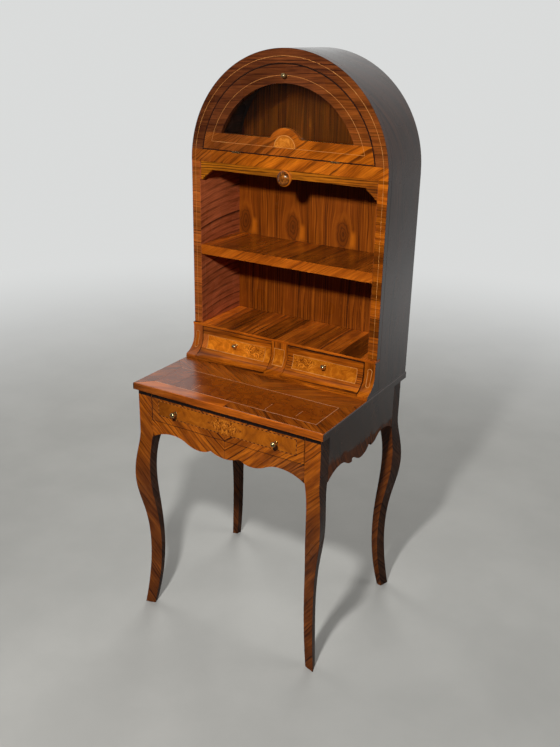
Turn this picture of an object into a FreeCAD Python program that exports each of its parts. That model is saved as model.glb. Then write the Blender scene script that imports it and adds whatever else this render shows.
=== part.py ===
import FreeCAD, Part
import Sketcher
import math
import os
from types import SimpleNamespace

# A bonheur du jour: a small writing table with a shallow arched cabinet on its back half.
# +X is to the right of someone who sits at it, +Y to the back and +Z up.
# The origin is on the floor, under the middle of the table top.

# Driving dimensions in millimetres. A name that ends in share is a plain ratio.
driving_sizes = {
    # Table top and the frame under it
    "table_width": 600,
    "table_depth": 500,
    "table_height": 730,
    "top_thickness": 19,
    "top_edge_round": 2.5,
    "side_overhang": 11,
    "front_overhang": 9,
    "post_width": 45,
    "apron_thickness": 20,
    "tenon_length": 28,
    "tenon_thickness": 9,
    "tenon_inset": 6,
    "tenon_shoulder": 8,
    # Legs, at five heights: how far the outer arris stands out from the frame on both faces,
    # the width of a face there, how far each outer face falls back from the arris, and how
    # much the inner corner is eased
    "post_length": 131,
    "bend_out": 5.5,
    "bend_width": 42.5,
    "bend_fall": 4,
    "knee_out": 14,
    "knee_width": 47.5,
    "knee_fall": 9,
    "ankle_in": 11.5,
    "ankle_width": 33.5,
    "ankle_fall": 9,
    "foot_out": 5,
    "foot_width": 29,
    "foot_fall": 9,
    "inner_corner_ease": 3.4,
    "bend_height_share": 0.92,
    "knee_height_share": 0.785,
    "ankle_height_share": 0.36,
    "calf_share": 0.6,
    "shin_share": 0.27,
    # Lower edges of the rail and aprons, as drops below the table top
    "front_shoulder_drop": 136,
    "front_arch_drop": 114,
    "front_lobe_drop": 137,
    "front_cusp_drop": 126,
    "front_centre_drop": 137,
    "front_arch_share": 0.7,
    "front_lobe_share": 0.34,
    "front_cusp_share": 0.19,
    "side_shoulder_drop": 140,
    "side_arch_drop": 119,
    "side_lobe_drop": 141,
    "side_cusp_drop": 131,
    "side_centre_drop": 151,
    "side_arch_share": 0.65,
    "side_lobe_share": 0.3,
    "side_cusp_share": 0.23,
    "scallop_bend_share": 0.5,
    "back_apron_drop": 110,
    # Wide table drawer and what it runs on
    "drawer_opening_height": 85,
    "drawer_front_thickness": 20,
    "drawer_gap": 1,
    "drawer_top_gap": 3,
    "run_gap": 0.3,
    "drawer_side_thickness": 10,
    "drawer_side_drop": 8,
    "drawer_back_room": 32,
    "drawer_bottom_thickness": 5,
    "drawer_bottom_lift": 8,
    "drawer_groove": 4,
    "runner_width": 20,
    "runner_height": 20,
    "runner_lip": 24,
    "glue_block_length": 40,
    "glue_block_height": 25,
    "glue_block_share": 0.6,
    # Cabinet carcase
    "cabinet_inset": 1,
    "cabinet_depth": 206,
    "cabinet_back_gap": 5,
    "cabinet_wall_height": 571,
    "panel_thickness": 28,
    "back_thickness": 9,
    "housing_depth": 6,
    "shelf_thickness": 28,
    "shelf_height": 243,
    "arch_floor_thickness": 16,
    # Face frame and valance
    "frame_thickness": 20,
    "stile_width": 28,
    "arch_width": 35,
    "lintel_height": 32,
    "valance_height": 22,
    "valance_thickness": 12,
    "valance_setback": 4,
    "bracket_width": 35,
    "bracket_drop": 27.5,
    "bracket_toe": 7,
    "bracket_bend_radius": 36,
    "boss_radius": 21.5,
    "boss_rim": 5,
    "boss_projection": 16,
    "boss_dome_radius": 27,
    "boss_drop": 22,
    "boss_spigot_radius": 4,
    "boss_spigot_length": 10,
    # Base of the cabinet with its two small drawers
    "base_height": 100,
    "base_board_thickness": 6,
    "base_board_lip": 1,
    "deck_thickness": 7,
    "ledge_projection": 8,
    "base_face_projection": 6,
    "cove_reach": 40,
    "cove_height": 49,
    "cove_foot": 5,
    "end_post_width": 32,
    "centre_post_width": 52,
    "divider_thickness": 12,
    "guide_height": 20,
    "small_gap": 1.5,
    "small_front_thickness": 14,
    "small_side_thickness": 8,
    "small_side_drop": 6,
    "small_bottom_thickness": 4,
    "small_bottom_lift": 6,
    "small_groove": 3,
    # Glazed flap
    "flap_gap": 1,
    "flap_thickness": 20,
    "flap_bevel": 3,
    "flap_arch_width": 48,
    "flap_knob_inset": 29,
    "flap_rail_height": 46,
    "hump_radius": 50,
    "hump_centre_lift": 23,
    "glass_thickness": 4,
    "glass_rebate": 6,
    "glass_rebate_depth": 8,
    "stop_thickness": 8,
    "stop_overlap": 3,
    # Hinges of the flap, its catch and the screws
    "hinge_offset": 150,
    "hinge_length": 26,
    "hinge_stand": 1,
    "leaf_depth": 15,
    "leaf_thickness": 1.4,
    "knuckle_radius": 2.4,
    "knuckle_gap": 0.3,
    "pin_radius": 1.2,
    "pin_gap": 0.05,
    "hinge_screw_radius": 1,
    "hinge_screw_head": 2,
    "hinge_screw_head_depth": 1,
    "hinge_screw_length": 10,
    "hinge_screw_spread": 7,
    "hinge_screw_set": 9,
    "catch_radius": 4,
    "catch_magnet_length": 10,
    "catch_strike_thickness": 2,
    "cabinet_screw_radius": 2,
    "cabinet_screw_head": 4,
    "cabinet_screw_head_depth": 3,
    "cabinet_screw_length": 45,
    "cabinet_screw_edge": 25,
    # Knobs: the pear-shaped pulls of the wide drawer and the ball knobs above
    "pull_radius": 8,
    "pull_projection": 22,
    "pull_neck_radius": 3.4,
    "pull_neck_length": 2.5,
    "pull_bend_share": 0.55,
    "pull_collar_radius": 5.5,
    "pull_collar_thickness": 1.6,
    "pull_spread": 160,
    "ball_radius": 7,
    "ball_neck_radius": 3,
    "ball_neck_length": 3.5,
    "ball_collar_radius": 5,
    "ball_collar_thickness": 1.6,
    "shank_radius": 2,
    "shank_length": 10,
    "small_knob_height": 48,
}

doc = FreeCAD.newDocument("bonheur_du_jour")
sheet = doc.addObject("Spreadsheet::Sheet", "Sizes")


class Size:
    """A number together with the spreadsheet formula that it comes from."""

    def __init__(self, value, formula):
        self.value = float(value)
        self.formula = formula

    def __add__(self, other):
        other = as_size(other)
        return Size(self.value + other.value, f"({self.formula} + {other.formula})")

    def __sub__(self, other):
        other = as_size(other)
        return Size(self.value - other.value, f"({self.formula} - {other.formula})")

    def __mul__(self, other):
        other = as_size(other)
        return Size(self.value * other.value, f"({self.formula} * {other.formula})")

    def __truediv__(self, other):
        other = as_size(other)
        return Size(self.value / other.value, f"({self.formula} / {other.formula})")

    def __rsub__(self, other):
        return as_size(other) - self

    def __neg__(self):
        return Size(-self.value, f"(0 - {self.formula})")

    __radd__ = __add__
    __rmul__ = __mul__


def as_size(number):
    if isinstance(number, Size):
        return number
    return Size(number, repr(number))


def leg_of(hypotenuse, side):
    """The other short side of a right-angled triangle."""
    square = hypotenuse * hypotenuse - side * side
    return Size(math.sqrt(square.value), f"sqrt({square.formula})")


def fill_sheet():
    named = {}
    for row, (alias, value) in enumerate(driving_sizes.items(), start=1):
        sheet.set(f"A{row}", alias)
        sheet.set(f"B{row}", str(value))
        sheet.setAlias(f"B{row}", alias)
        named[alias] = Size(value, f"Sizes.{alias}")
    doc.recompute()
    return SimpleNamespace(**named)


size = fill_sheet()
zero = as_size(0)
pieces = []


# Helpers that make one object each, with its sizes bound to the sheet

def bind(item, name, value):
    item.setExpression(name, as_size(value).formula)


def place(item, x, y, z):
    for axis, value in zip("xyz", (x, y, z)):
        bind(item, f"Placement.Base.{axis}", value)


def keep(item):
    pieces.append(item)
    return item


def block(name, x, y, z):
    """A box from low to high along each axis."""
    item = doc.addObject("Part::Box", name)
    for side, (low, high) in zip(("Length", "Width", "Height"), (x, y, z)):
        bind(item, side, high - low)
    place(item, x[0], y[0], z[0])
    return item


turns = {
    "x": FreeCAD.Rotation(FreeCAD.Vector(0, 1, 0), 90),
    "y": FreeCAD.Rotation(FreeCAD.Vector(1, 0, 0), -90),
    "z": FreeCAD.Rotation(),
}


def rod(name, radius, x, y, z):
    """A cylinder along the axis whose value is a pair from low to high."""
    item = doc.addObject("Part::Cylinder", name)
    along = next(axis for axis, value in zip("xyz", (x, y, z)) if isinstance(value, tuple))
    item.Placement = FreeCAD.Placement(FreeCAD.Vector(), turns[along])
    low, high = {"x": x, "y": y, "z": z}[along]
    bind(item, "Radius", radius)
    bind(item, "Height", high - low)
    place(item, *(low if axis == along else value for axis, value in zip("xyz", (x, y, z))))
    return item


def fuse(name, *items):
    item = doc.addObject("Part::MultiFuse", name)
    item.Shapes = list(items)
    item.Refine = True
    return item


def cut(name, base, *tools):
    item = doc.addObject("Part::Cut", name)
    item.Base = base
    item.Tool = tools[0] if len(tools) == 1 else fuse(name + "_cutter", *tools)
    return item


def common(name, base, tool):
    item = doc.addObject("Part::Common", name)
    item.Base = base
    item.Tool = tool
    return item


def group(name, *items):
    item = doc.addObject("Part::Compound", name)
    item.Links = list(items)
    return item


def mirror(name, source, normal):
    item = doc.addObject("Part::Mirroring", name)
    item.Source = source
    item.Normal = FreeCAD.Vector(*normal)
    return item


across = (1, 0, 0)
front_to_back = (0, 1, 0)


# Outlines: closed lists of corners, counter-clockwise. A third value is the radius of the
# arc to the next corner, below zero where that arc hollows the outline.

def end_tangent_radius(start, end, drift):
    """Radius of an arc between two points whose end runs square to the given drift."""
    rise_x, rise_y = end[0] - start[0], end[1] - start[1]
    return (rise_x * rise_x + rise_y * rise_y) / (2 * drift)


def ess(start, end, share, drift):
    """Two arcs that leave start and reach end square to the drift between them."""
    middle = tuple(a + share * (b - a) for a, b in zip(start, end))
    whole = end_tangent_radius(start, end, drift)
    return (*start, whole * share), (*middle, -(whole * (1 - share)))


def attach_sketch(body, name, plane):
    sketch = body.newObject("Sketcher::SketchObject", name)
    role = plane + "_Plane"
    support = next(item for item in body.Origin.OriginFeatures if item.Role == role)
    sketch.AttachmentSupport = (support, [""])
    sketch.MapMode = "FlatFace"
    return sketch


def arc_between(start, end, radius):
    """The short arc from start to end, always counter-clockwise as sketches keep it."""
    if radius < 0:
        start, end, radius = end, start, -radius
    chord = end - start
    reach = math.sqrt(max(radius * radius - chord.Length ** 2 / 4, 0))
    inward = FreeCAD.Vector(-chord.y, chord.x, 0).normalize()
    centre = (start + end) * 0.5 + inward * reach
    angles = [math.atan2(p.y - centre.y, p.x - centre.x) for p in (start, end)]
    circle = Part.Circle(centre, FreeCAD.Vector(0, 0, 1), radius)
    return Part.ArcOfCircle(circle, *angles)


def draw_outline(sketch, corners):
    """Edges between the corners, each corner pinned at its own bound coordinates."""
    spots = [FreeCAD.Vector(c[0].value, c[1].value, 0) for c in corners]
    count = len(corners)
    ends = []
    for index, corner in enumerate(corners):
        start, end = spots[index], spots[(index + 1) % count]
        if len(corner) == 3:
            sketch.addGeometry(arc_between(start, end, corner[2].value))
            ends.append((1, 2) if corner[2].value > 0 else (2, 1))
        else:
            sketch.addGeometry(Part.LineSegment(start, end))
            ends.append((1, 2))
    for index in range(count):
        following = (index + 1) % count
        joint = Sketcher.Constraint("Coincident", index, ends[index][1], following, ends[following][0])
        sketch.addConstraint(joint)
    for index, corner in enumerate(corners):
        for kind, axis, value in (("DistanceX", -2, corner[0]), ("DistanceY", -1, corner[1])):
            if value.formula == zero.formula:
                pin = Sketcher.Constraint("PointOnObject", index, ends[index][0], axis)
                sketch.addConstraint(pin)
            else:
                pin = Sketcher.Constraint(kind, -1, 1, index, ends[index][0], value.value)
                bind(sketch, f"Constraints[{sketch.addConstraint(pin)}]", value)
        if len(corner) == 3:
            radius = corner[2] if corner[2].value > 0 else -corner[2]
            pin = Sketcher.Constraint("Radius", index, radius.value)
            bind(sketch, f"Constraints[{sketch.addConstraint(pin)}]", radius)


def plate(name, plane, corners, low, high):
    """An outline in the XY, XZ or YZ plane, padded from low to high along the third axis."""
    body = doc.addObject("PartDesign::Body", name)
    sketch = attach_sketch(body, name + "_outline", plane)
    draw_outline(sketch, corners)
    pad = body.newObject("PartDesign::Pad", name + "_pad")
    pad.Profile = sketch
    bind(pad, "Length", high - low)
    body.Tip = pad
    bases = {"XY": (zero, zero, low), "XZ": (zero, high, zero), "YZ": (low, zero, zero)}
    place(body, *bases[plane])
    return body


def turned(name, corners, x, y, z):
    """A turning about an axis along Y: corners are (radius, distance behind y)."""
    body = doc.addObject("PartDesign::Body", name)
    sketch = attach_sketch(body, name + "_profile", "XY")
    draw_outline(sketch, corners)
    lathe = body.newObject("PartDesign::Revolution", name + "_turning")
    lathe.Profile = sketch
    lathe.ReferenceAxis = (sketch, ["V_Axis"])
    body.Tip = lathe
    place(body, x, y, z)
    return body


# Planes that the pieces share

frame_x = size.table_width / 2 - size.side_overhang
frame_y = size.table_depth / 2 - size.front_overhang
post_x = frame_x - size.post_width
post_y = frame_y - size.post_width
top_under = size.table_height - size.top_thickness
rail_top = top_under - size.drawer_opening_height
drawer_end = frame_y - size.apron_thickness - size.drawer_back_room

cabinet_x = size.table_width / 2 - size.cabinet_inset
cabinet_back = size.table_depth / 2 - size.cabinet_back_gap
cabinet_front = cabinet_back - size.cabinet_depth
shell_front = cabinet_front + size.frame_thickness
inner_x = cabinet_x - size.panel_thickness
back_front = cabinet_back - size.back_thickness
base_floor = size.table_height + size.base_board_thickness
deck_top = size.table_height + size.base_height
deck_under = deck_top - size.deck_thickness
spring = size.table_height + size.cabinet_wall_height
lintel_top = spring + size.lintel_height
stile_x = cabinet_x - size.stile_width


# Table frame

def mirrored_edge(points):
    """The middle and the other half of a lower edge that is the same on both sides."""
    half = [(*points[-1], *points[-2][2:])]
    for index in range(len(points) - 2, 0, -1):
        half.append((-points[index][0], points[index][1], *points[index - 1][2:]))
    half.append((-points[0][0], points[0][1]))
    return half


def front_rail_outline():
    low = {key: top_under - value for key, value in (
        ("shoulder", size.front_shoulder_drop),
        ("arch", size.front_arch_drop),
        ("lobe", size.front_lobe_drop),
        ("cusp", size.front_cusp_drop),
        ("centre", size.front_centre_drop),
    )}
    shoulder = (-post_x, low["shoulder"])
    arch = (-(post_x * size.front_arch_share), low["arch"])
    lobe = (-(post_x * size.front_lobe_share), low["lobe"])
    cusp = (-(post_x * size.front_cusp_share), low["cusp"])
    centre = (zero, low["centre"])
    left = [
        (*shoulder, -end_tangent_radius(shoulder, arch, arch[1] - shoulder[1])),
        *ess(arch, lobe, size.scallop_bend_share, lobe[1] - arch[1]),
        (*lobe, end_tangent_radius(lobe, cusp, cusp[1] - lobe[1])),
        (*cusp, end_tangent_radius(cusp, centre, cusp[1] - centre[1])),
        centre,
    ]
    return [*left[:-1], *mirrored_edge(left), (post_x, rail_top), (-post_x, rail_top)]


def side_apron_outline():
    arch_top = top_under - size.side_arch_drop
    lobe_low = top_under - size.side_lobe_drop
    cusp_top = top_under - size.side_cusp_drop
    shoulder = (-post_y, top_under - size.side_shoulder_drop)
    arch = (-(post_y * size.side_arch_share), arch_top)
    lobe = (-(post_y * size.side_lobe_share), lobe_low)
    step = (-(post_y * size.side_lobe_share), cusp_top)
    cusp = (-(post_y * size.side_cusp_share), cusp_top)
    centre = (zero, top_under - size.side_centre_drop)
    left = [
        (*shoulder, -end_tangent_radius(shoulder, arch, arch_top - shoulder[1])),
        *ess(arch, lobe, size.scallop_bend_share, lobe_low - arch_top),
        lobe,
        step,
        (*cusp, end_tangent_radius(cusp, centre, cusp_top - centre[1])),
        centre,
    ]
    return [*left[:-1], *mirrored_edge(left), (post_y, top_under), (-post_y, top_under)]


def halfway(above, below, share):
    """A section at half height, with a share of the lower one in everything else."""
    mixed = [a + share * (b - a) for a, b in zip(above[1:], below[1:])]
    return ((above[0] + below[0]) / 2, *mixed)


def leg_stations():
    """Sections of a leg from the post down: height, arris, width, fall and inner ease."""
    post_foot = top_under - size.post_length
    ease = size.inner_corner_ease
    bend_height = post_foot * size.bend_height_share
    knee_height = post_foot * size.knee_height_share
    ankle_height = post_foot * size.ankle_height_share
    bend = (bend_height, size.bend_out, size.bend_width, size.bend_fall, ease / 2)
    knee = (knee_height, size.knee_out, size.knee_width, size.knee_fall, ease)
    ankle = (ankle_height, -size.ankle_in, size.ankle_width, size.ankle_fall, ease)
    foot = (zero, size.foot_out, size.foot_width, size.foot_fall, ease)
    calf = halfway(knee, ankle, size.calf_share)
    shin = halfway(ankle, foot, size.shin_share)
    return (post_foot, zero, size.post_width, zero, zero), bend, knee, calf, ankle, shin, foot


def leg_blank():
    """The leg at the back right: a square post over a curved leg with a sharp outer arris."""
    body = doc.addObject("PartDesign::Body", "leg_curve")
    sketches = []
    for number, (height, out, width, fall, ease) in enumerate(leg_stations(), start=1):
        sketch = attach_sketch(body, f"leg_section_{number}", "XY")
        bind(sketch, "AttachmentOffset.Base.z", height)
        x, y = frame_x + out, frame_y + out
        draw_outline(sketch, [
            (x - width + ease, y - width + ease),
            (x - fall, y - width),
            (x, y),
            (x - width, y - fall),
        ])
        sketches.append(sketch)
    loft = body.newObject("PartDesign::AdditiveLoft", "leg_loft")
    loft.Profile = sketches[0]
    loft.Sections = sketches[1:]
    body.Tip = loft
    post_z = (top_under - size.post_length, top_under)
    post = block("leg_post", (post_x, frame_x), (post_y, frame_y), post_z)
    return fuse("leg_blank", post, body)


def cross_tenons(name, y, z):
    """A tenon on each end of a rail that lies across the desk."""
    right = block(name + "_tenon_right", (post_x, post_x + size.tenon_length), y, z)
    return right, mirror(name + "_tenon_left", right, across)


def table_frame():
    tenon_y = (size.tenon_inset, size.tenon_inset + size.tenon_thickness)
    rail_low = top_under - size.front_arch_drop
    apron_low = top_under - size.side_arch_drop + size.tenon_shoulder
    apron_high = top_under - size.tenon_shoulder
    thick = size.apron_thickness

    front_tenons = cross_tenons(
        "front_rail", (-frame_y + tenon_y[0], -frame_y + tenon_y[1]), (rail_low, rail_top),
    )
    rail = plate("front_rail_board", "XZ", front_rail_outline(), -frame_y, thick - frame_y)
    keep(fuse("front_rail", rail, *front_tenons))

    back_low = top_under - size.back_apron_drop
    back_tenons = cross_tenons(
        "back_apron", (frame_y - tenon_y[1], frame_y - tenon_y[0]),
        (back_low + size.tenon_shoulder, apron_high),
    )
    board = block("back_apron_board", (-post_x, post_x), (frame_y - thick, frame_y), (back_low, top_under))
    keep(fuse("back_apron", board, *back_tenons))

    side_tenon_back = block(
        "side_apron_tenon_back", (frame_x - tenon_y[1], frame_x - tenon_y[0]),
        (post_y, post_y + size.tenon_length), (apron_low, apron_high),
    )
    side_tenon_front = mirror("side_apron_tenon_front", side_tenon_back, front_to_back)
    side = plate("side_apron_board", "YZ", side_apron_outline(), frame_x - thick, frame_x)
    right = keep(fuse("side_apron_right", side, side_tenon_back, side_tenon_front))
    left = keep(mirror("side_apron_left", right, across))

    blank = leg_blank()
    blank_front = mirror("leg_blank_front", blank, front_to_back)
    keep(cut("leg_back_right", blank, back_tenons[0], side_tenon_back))
    keep(cut("leg_front_right", blank_front, front_tenons[0], side_tenon_front))
    blank_left = mirror("leg_blank_left", blank, across)
    blank_front_left = mirror("leg_blank_front_left", blank_front, across)
    keep(cut("leg_back_left", blank_left, back_tenons[1], left))
    keep(cut("leg_front_left", blank_front_left, front_tenons[1], left))


def drawer_supports():
    """Runners with guides and stops on the side aprons, and the glue blocks under the top."""
    inner_face = frame_x - size.apron_thickness
    front = size.apron_thickness - frame_y
    low = rail_top - size.runner_height
    lip_top = rail_top + size.runner_lip
    strip_x = (post_x - size.runner_width, post_x)
    stop_y = (drawer_end + size.run_gap, -front)
    strip = block("runner_strip", strip_x, (front, -front), (low, rail_top))
    guide = block("runner_guide", (post_x, inner_face), (-post_y, post_y), (low, lip_top))
    stop = block("runner_stop", strip_x, stop_y, (rail_top, lip_top))
    right = fuse("runner_right", strip, guide, stop)
    keep(group("drawer_runners", right, mirror("runner_left", right, across)))

    middle = post_y * size.glue_block_share
    half = size.glue_block_length / 2
    back = block(
        "glue_block_back", (post_x, inner_face), (middle - half, middle + half),
        (top_under - size.glue_block_height, top_under),
    )
    row = group("glue_blocks_right", back, mirror("glue_block_front", back, front_to_back))
    keep(group("glue_blocks", row, mirror("glue_blocks_left", row, across)))


# Knobs

def shank_corners(collar_radius, collar_thickness, neck_radius):
    """The collar of a knob and the shank behind it, from the neck to the axis."""
    return [
        (neck_radius, -collar_thickness),
        (collar_radius, -collar_thickness),
        (collar_radius, zero),
        (size.shank_radius, zero),
        (size.shank_radius, size.shank_length),
        (zero, size.shank_length),
    ]


def pull_knob(name, x, y, z):
    """A pear-shaped turned pull, with its shank in the drawer front."""
    neck = -(size.pull_collar_thickness + size.pull_neck_length)
    tip = -size.pull_projection
    belly = (size.pull_radius, tip + size.pull_radius)
    waist = (size.pull_neck_radius, neck)
    return turned(name, [
        (zero, tip, size.pull_radius),
        *ess(belly, waist, size.pull_bend_share, belly[0] - waist[0]),
        waist,
        *shank_corners(size.pull_collar_radius, size.pull_collar_thickness, size.pull_neck_radius),
    ], x, y, z)


def ball_knob(name, x, y, z):
    """A ball on a short neck, with its shank in the wood behind."""
    neck = -(size.ball_collar_thickness + size.ball_neck_length)
    middle = neck - leg_of(size.ball_radius, size.ball_neck_radius)
    return turned(name, [
        (zero, middle - size.ball_radius, size.ball_radius),
        (size.ball_radius, middle, size.ball_radius),
        (size.ball_neck_radius, neck),
        *shank_corners(size.ball_collar_radius, size.ball_collar_thickness, size.ball_neck_radius),
    ], x, y, z)


# Wide table drawer

def table_drawer():
    half = post_x - size.drawer_gap
    front_low = rail_top + size.drawer_gap
    front_high = top_under - size.drawer_top_gap
    front_back = size.drawer_front_thickness - frame_y
    side_low = rail_top + size.run_gap
    side_high = front_high - size.drawer_side_drop
    inside = half - size.drawer_side_thickness
    bottom_low = side_low + size.drawer_bottom_lift
    bottom_high = bottom_low + size.drawer_bottom_thickness
    knob_height = (front_low + front_high) / 2

    knob = pull_knob("table_drawer_knob_right", size.pull_spread, -frame_y, knob_height)
    knobs = keep(group("table_drawer_knobs", knob, mirror("table_drawer_knob_left", knob, across)))
    bottom = keep(block(
        "table_drawer_bottom", (-inside - size.drawer_groove, inside + size.drawer_groove),
        (front_back - size.drawer_groove, drawer_end), (bottom_low, bottom_high),
    ))
    front = block("table_drawer_front_board", (-half, half), (-frame_y, front_back), (front_low, front_high))
    keep(cut("table_drawer_front", front, knobs, bottom))
    board = block("table_drawer_side_board", (inside, half), (front_back, drawer_end), (side_low, side_high))
    right = cut("table_drawer_side_right", board, bottom)
    keep(group("table_drawer_sides", right, mirror("table_drawer_side_left", right, across)))
    back_y = (drawer_end - size.drawer_side_thickness, drawer_end)
    keep(block("table_drawer_back", (-inside, inside), back_y, (bottom_high, side_high)))


# Cabinet carcase

def half_disc(name, radius, y, base, centre=None):
    """The part of a disc that lies above a level, centred on the spring line unless told."""
    centre = spring if centre is None else centre
    disc = rod(name + "_disc", radius, zero, y, centre)
    above = block(name + "_above", (-radius, radius), y, (base, centre + radius))
    return common(name, disc, above)


def stepped_board(name, front_x, back_x, front, low, high):
    """A board whose front part, between or under the stiles, has a width of its own."""
    return plate(name, "XY", [
        (-front_x, front),
        (front_x, front),
        (front_x, shell_front),
        (back_x, shell_front),
        (back_x, back_front),
        (-back_x, back_front),
        (-back_x, shell_front),
        (-front_x, shell_front),
    ], low, high)


def carcase():
    depth = (shell_front, cabinet_back)
    housed_x = inner_x + size.housing_depth
    shelf_low = deck_under + size.shelf_height - size.shelf_thickness
    shelf_high = deck_under + size.shelf_height
    deck = keep(stepped_board(
        "deck", cabinet_x, housed_x, cabinet_front - size.ledge_projection, deck_under, deck_top,
    ))
    shelf = keep(stepped_board("middle_shelf", stile_x, housed_x, cabinet_front, shelf_low, shelf_high))

    panel = block("cabinet_side_board", (inner_x, cabinet_x), depth, (base_floor, spring))
    right = keep(cut("cabinet_side_right", panel, deck, shelf))
    keep(mirror("cabinet_side_left", right, across))

    hollow = rod("arched_top_hollow", inner_x, zero, depth, spring)
    keep(cut("arched_top", half_disc("arched_top_solid", cabinet_x, depth, spring), hollow))

    back_y = (back_front, cabinet_back)
    lower = block("back_panel_lower", (-inner_x, inner_x), back_y, (base_floor, spring))
    keep(fuse("back_panel", lower, half_disc("back_panel_arch", inner_x, back_y, spring)))

    floor_y = (shell_front, back_front)
    floor_z = (lintel_top - size.arch_floor_thickness, lintel_top)
    floor = block("arch_floor_board", (-inner_x, inner_x), floor_y, floor_z)
    keep(common("arch_floor", floor, rod("arch_floor_disc", inner_x, zero, floor_y, spring)))


def valance_outline():
    low = spring - size.valance_height
    foot = low - size.bracket_drop
    inner = (stile_x - size.bracket_width, low)
    toe = (stile_x - size.bracket_toe, foot)
    middle = tuple((a + b) / 2 for a, b in zip(inner, toe))
    bend = size.bracket_bend_radius
    return [
        (-stile_x, foot),
        (-toe[0], foot, -bend),
        (-middle[0], middle[1], bend),
        (-inner[0], low),
        (*inner, bend),
        (*middle, -bend),
        toe,
        (stile_x, foot),
        (stile_x, spring),
        (-stile_x, spring),
    ]


def valance():
    front = cabinet_front + size.valance_setback
    back = front + size.valance_thickness
    boss = keep(turned("valance_boss", [
        (zero, -size.boss_projection, size.boss_dome_radius),
        (size.boss_radius, -size.boss_rim),
        (size.boss_radius, zero),
        (size.boss_spigot_radius, zero),
        (size.boss_spigot_radius, size.boss_spigot_length),
        (zero, size.boss_spigot_length),
    ], zero, front, spring - size.boss_drop))
    keep(cut("valance", plate("valance_board", "XZ", valance_outline(), front, back), boss))


# Base of the cabinet with its two drawers

def cove_outline(low, high, back):
    """Front profile of the base, in the YZ plane: upright, then a cove out to a small foot."""
    face = cabinet_front - size.base_face_projection
    toe = face - size.cove_reach
    cove_low = base_floor + size.cove_foot
    cove_high = cove_low + size.cove_height
    hollow = end_tangent_radius((face, cove_high), (toe, cove_low), size.cove_reach)
    return [
        (back, high),
        (face, high),
        (face, cove_high, -hollow),
        (toe, cove_low),
        (toe, low),
        (back, low),
    ]


def base_frame():
    toe = cabinet_front - size.base_face_projection - size.cove_reach
    half_post = size.centre_post_width / 2
    half_divider = size.divider_thickness / 2
    run = (shell_front, back_front)
    profile = cove_outline(base_floor, deck_under, shell_front)
    end_x = cabinet_x - size.end_post_width
    right = keep(plate("end_post_right", "YZ", profile, end_x, cabinet_x))
    keep(mirror("end_post_left", right, across))
    post = plate("centre_post_block", "YZ", profile, -half_post, half_post)
    divider = block("base_divider_board", (-half_divider, half_divider), run, (base_floor, deck_under))
    board = block(
        "base_board_blank", (-cabinet_x, cabinet_x), (toe - size.base_board_lip, cabinet_back),
        (size.table_height, base_floor),
    )

    guide_z = (base_floor, base_floor + size.guide_height)
    outer = block("base_guide_outer", (end_x, inner_x), run, guide_z)
    inner = block("base_guide_inner", (half_divider, half_post), run, guide_z)
    pair = group("base_guides_right", outer, inner)
    keep(group("base_drawer_guides", pair, mirror("base_guides_left", pair, across)))
    return post, divider, board


def wood_screw(name, radius, head, head_depth, length, x, y, low):
    """A screw driven upwards, its head level with the face that it enters."""
    shaft = rod(name + "_shaft", radius, x, y, (low, low + length))
    cap = rod(name + "_head", head, x, y, (low, low + head_depth))
    return fuse(name, shaft, cap)


def table_top_and_screws(post, divider, board):
    """Screws on the middle line hold the cabinet down, through the top, from the drawer space."""
    front = cabinet_front - size.base_face_projection
    back = back_front - size.cabinet_screw_edge
    rows = (front, (shell_front + back) / 2, back)
    screws = [
        wood_screw(
            f"cabinet_screw_{number}", size.cabinet_screw_radius, size.cabinet_screw_head,
            size.cabinet_screw_head_depth, size.cabinet_screw_length, zero, y, top_under,
        )
        for number, y in enumerate(rows, start=1)
    ]
    fixings = keep(group("cabinet_screws", *screws))
    keep(cut("centre_post", post, fixings))
    keep(cut("base_divider", divider, fixings))
    keep(cut("base_board", board, fixings))
    keep(cut("table_top", table_board(), fixings))


def table_board():
    """The table top with its upper arris rounded all the way round."""
    x, y = size.table_width / 2, size.table_depth / 2
    body = plate("table_board", "XY", [(-x, -y), (x, -y), (x, y), (-x, y)], top_under, size.table_height)
    doc.recompute()
    pad = body.Tip
    upper = pad.Shape.BoundBox.ZMax
    rim = [
        f"Edge{number}" for number, edge in enumerate(pad.Shape.Edges, start=1)
        if math.isclose(edge.BoundBox.ZMin, upper)
    ]
    soft = body.newObject("PartDesign::Fillet", "table_board_round")
    soft.Base = (pad, rim)
    bind(soft, "Radius", size.top_edge_round)
    body.Tip = soft
    return body


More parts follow.
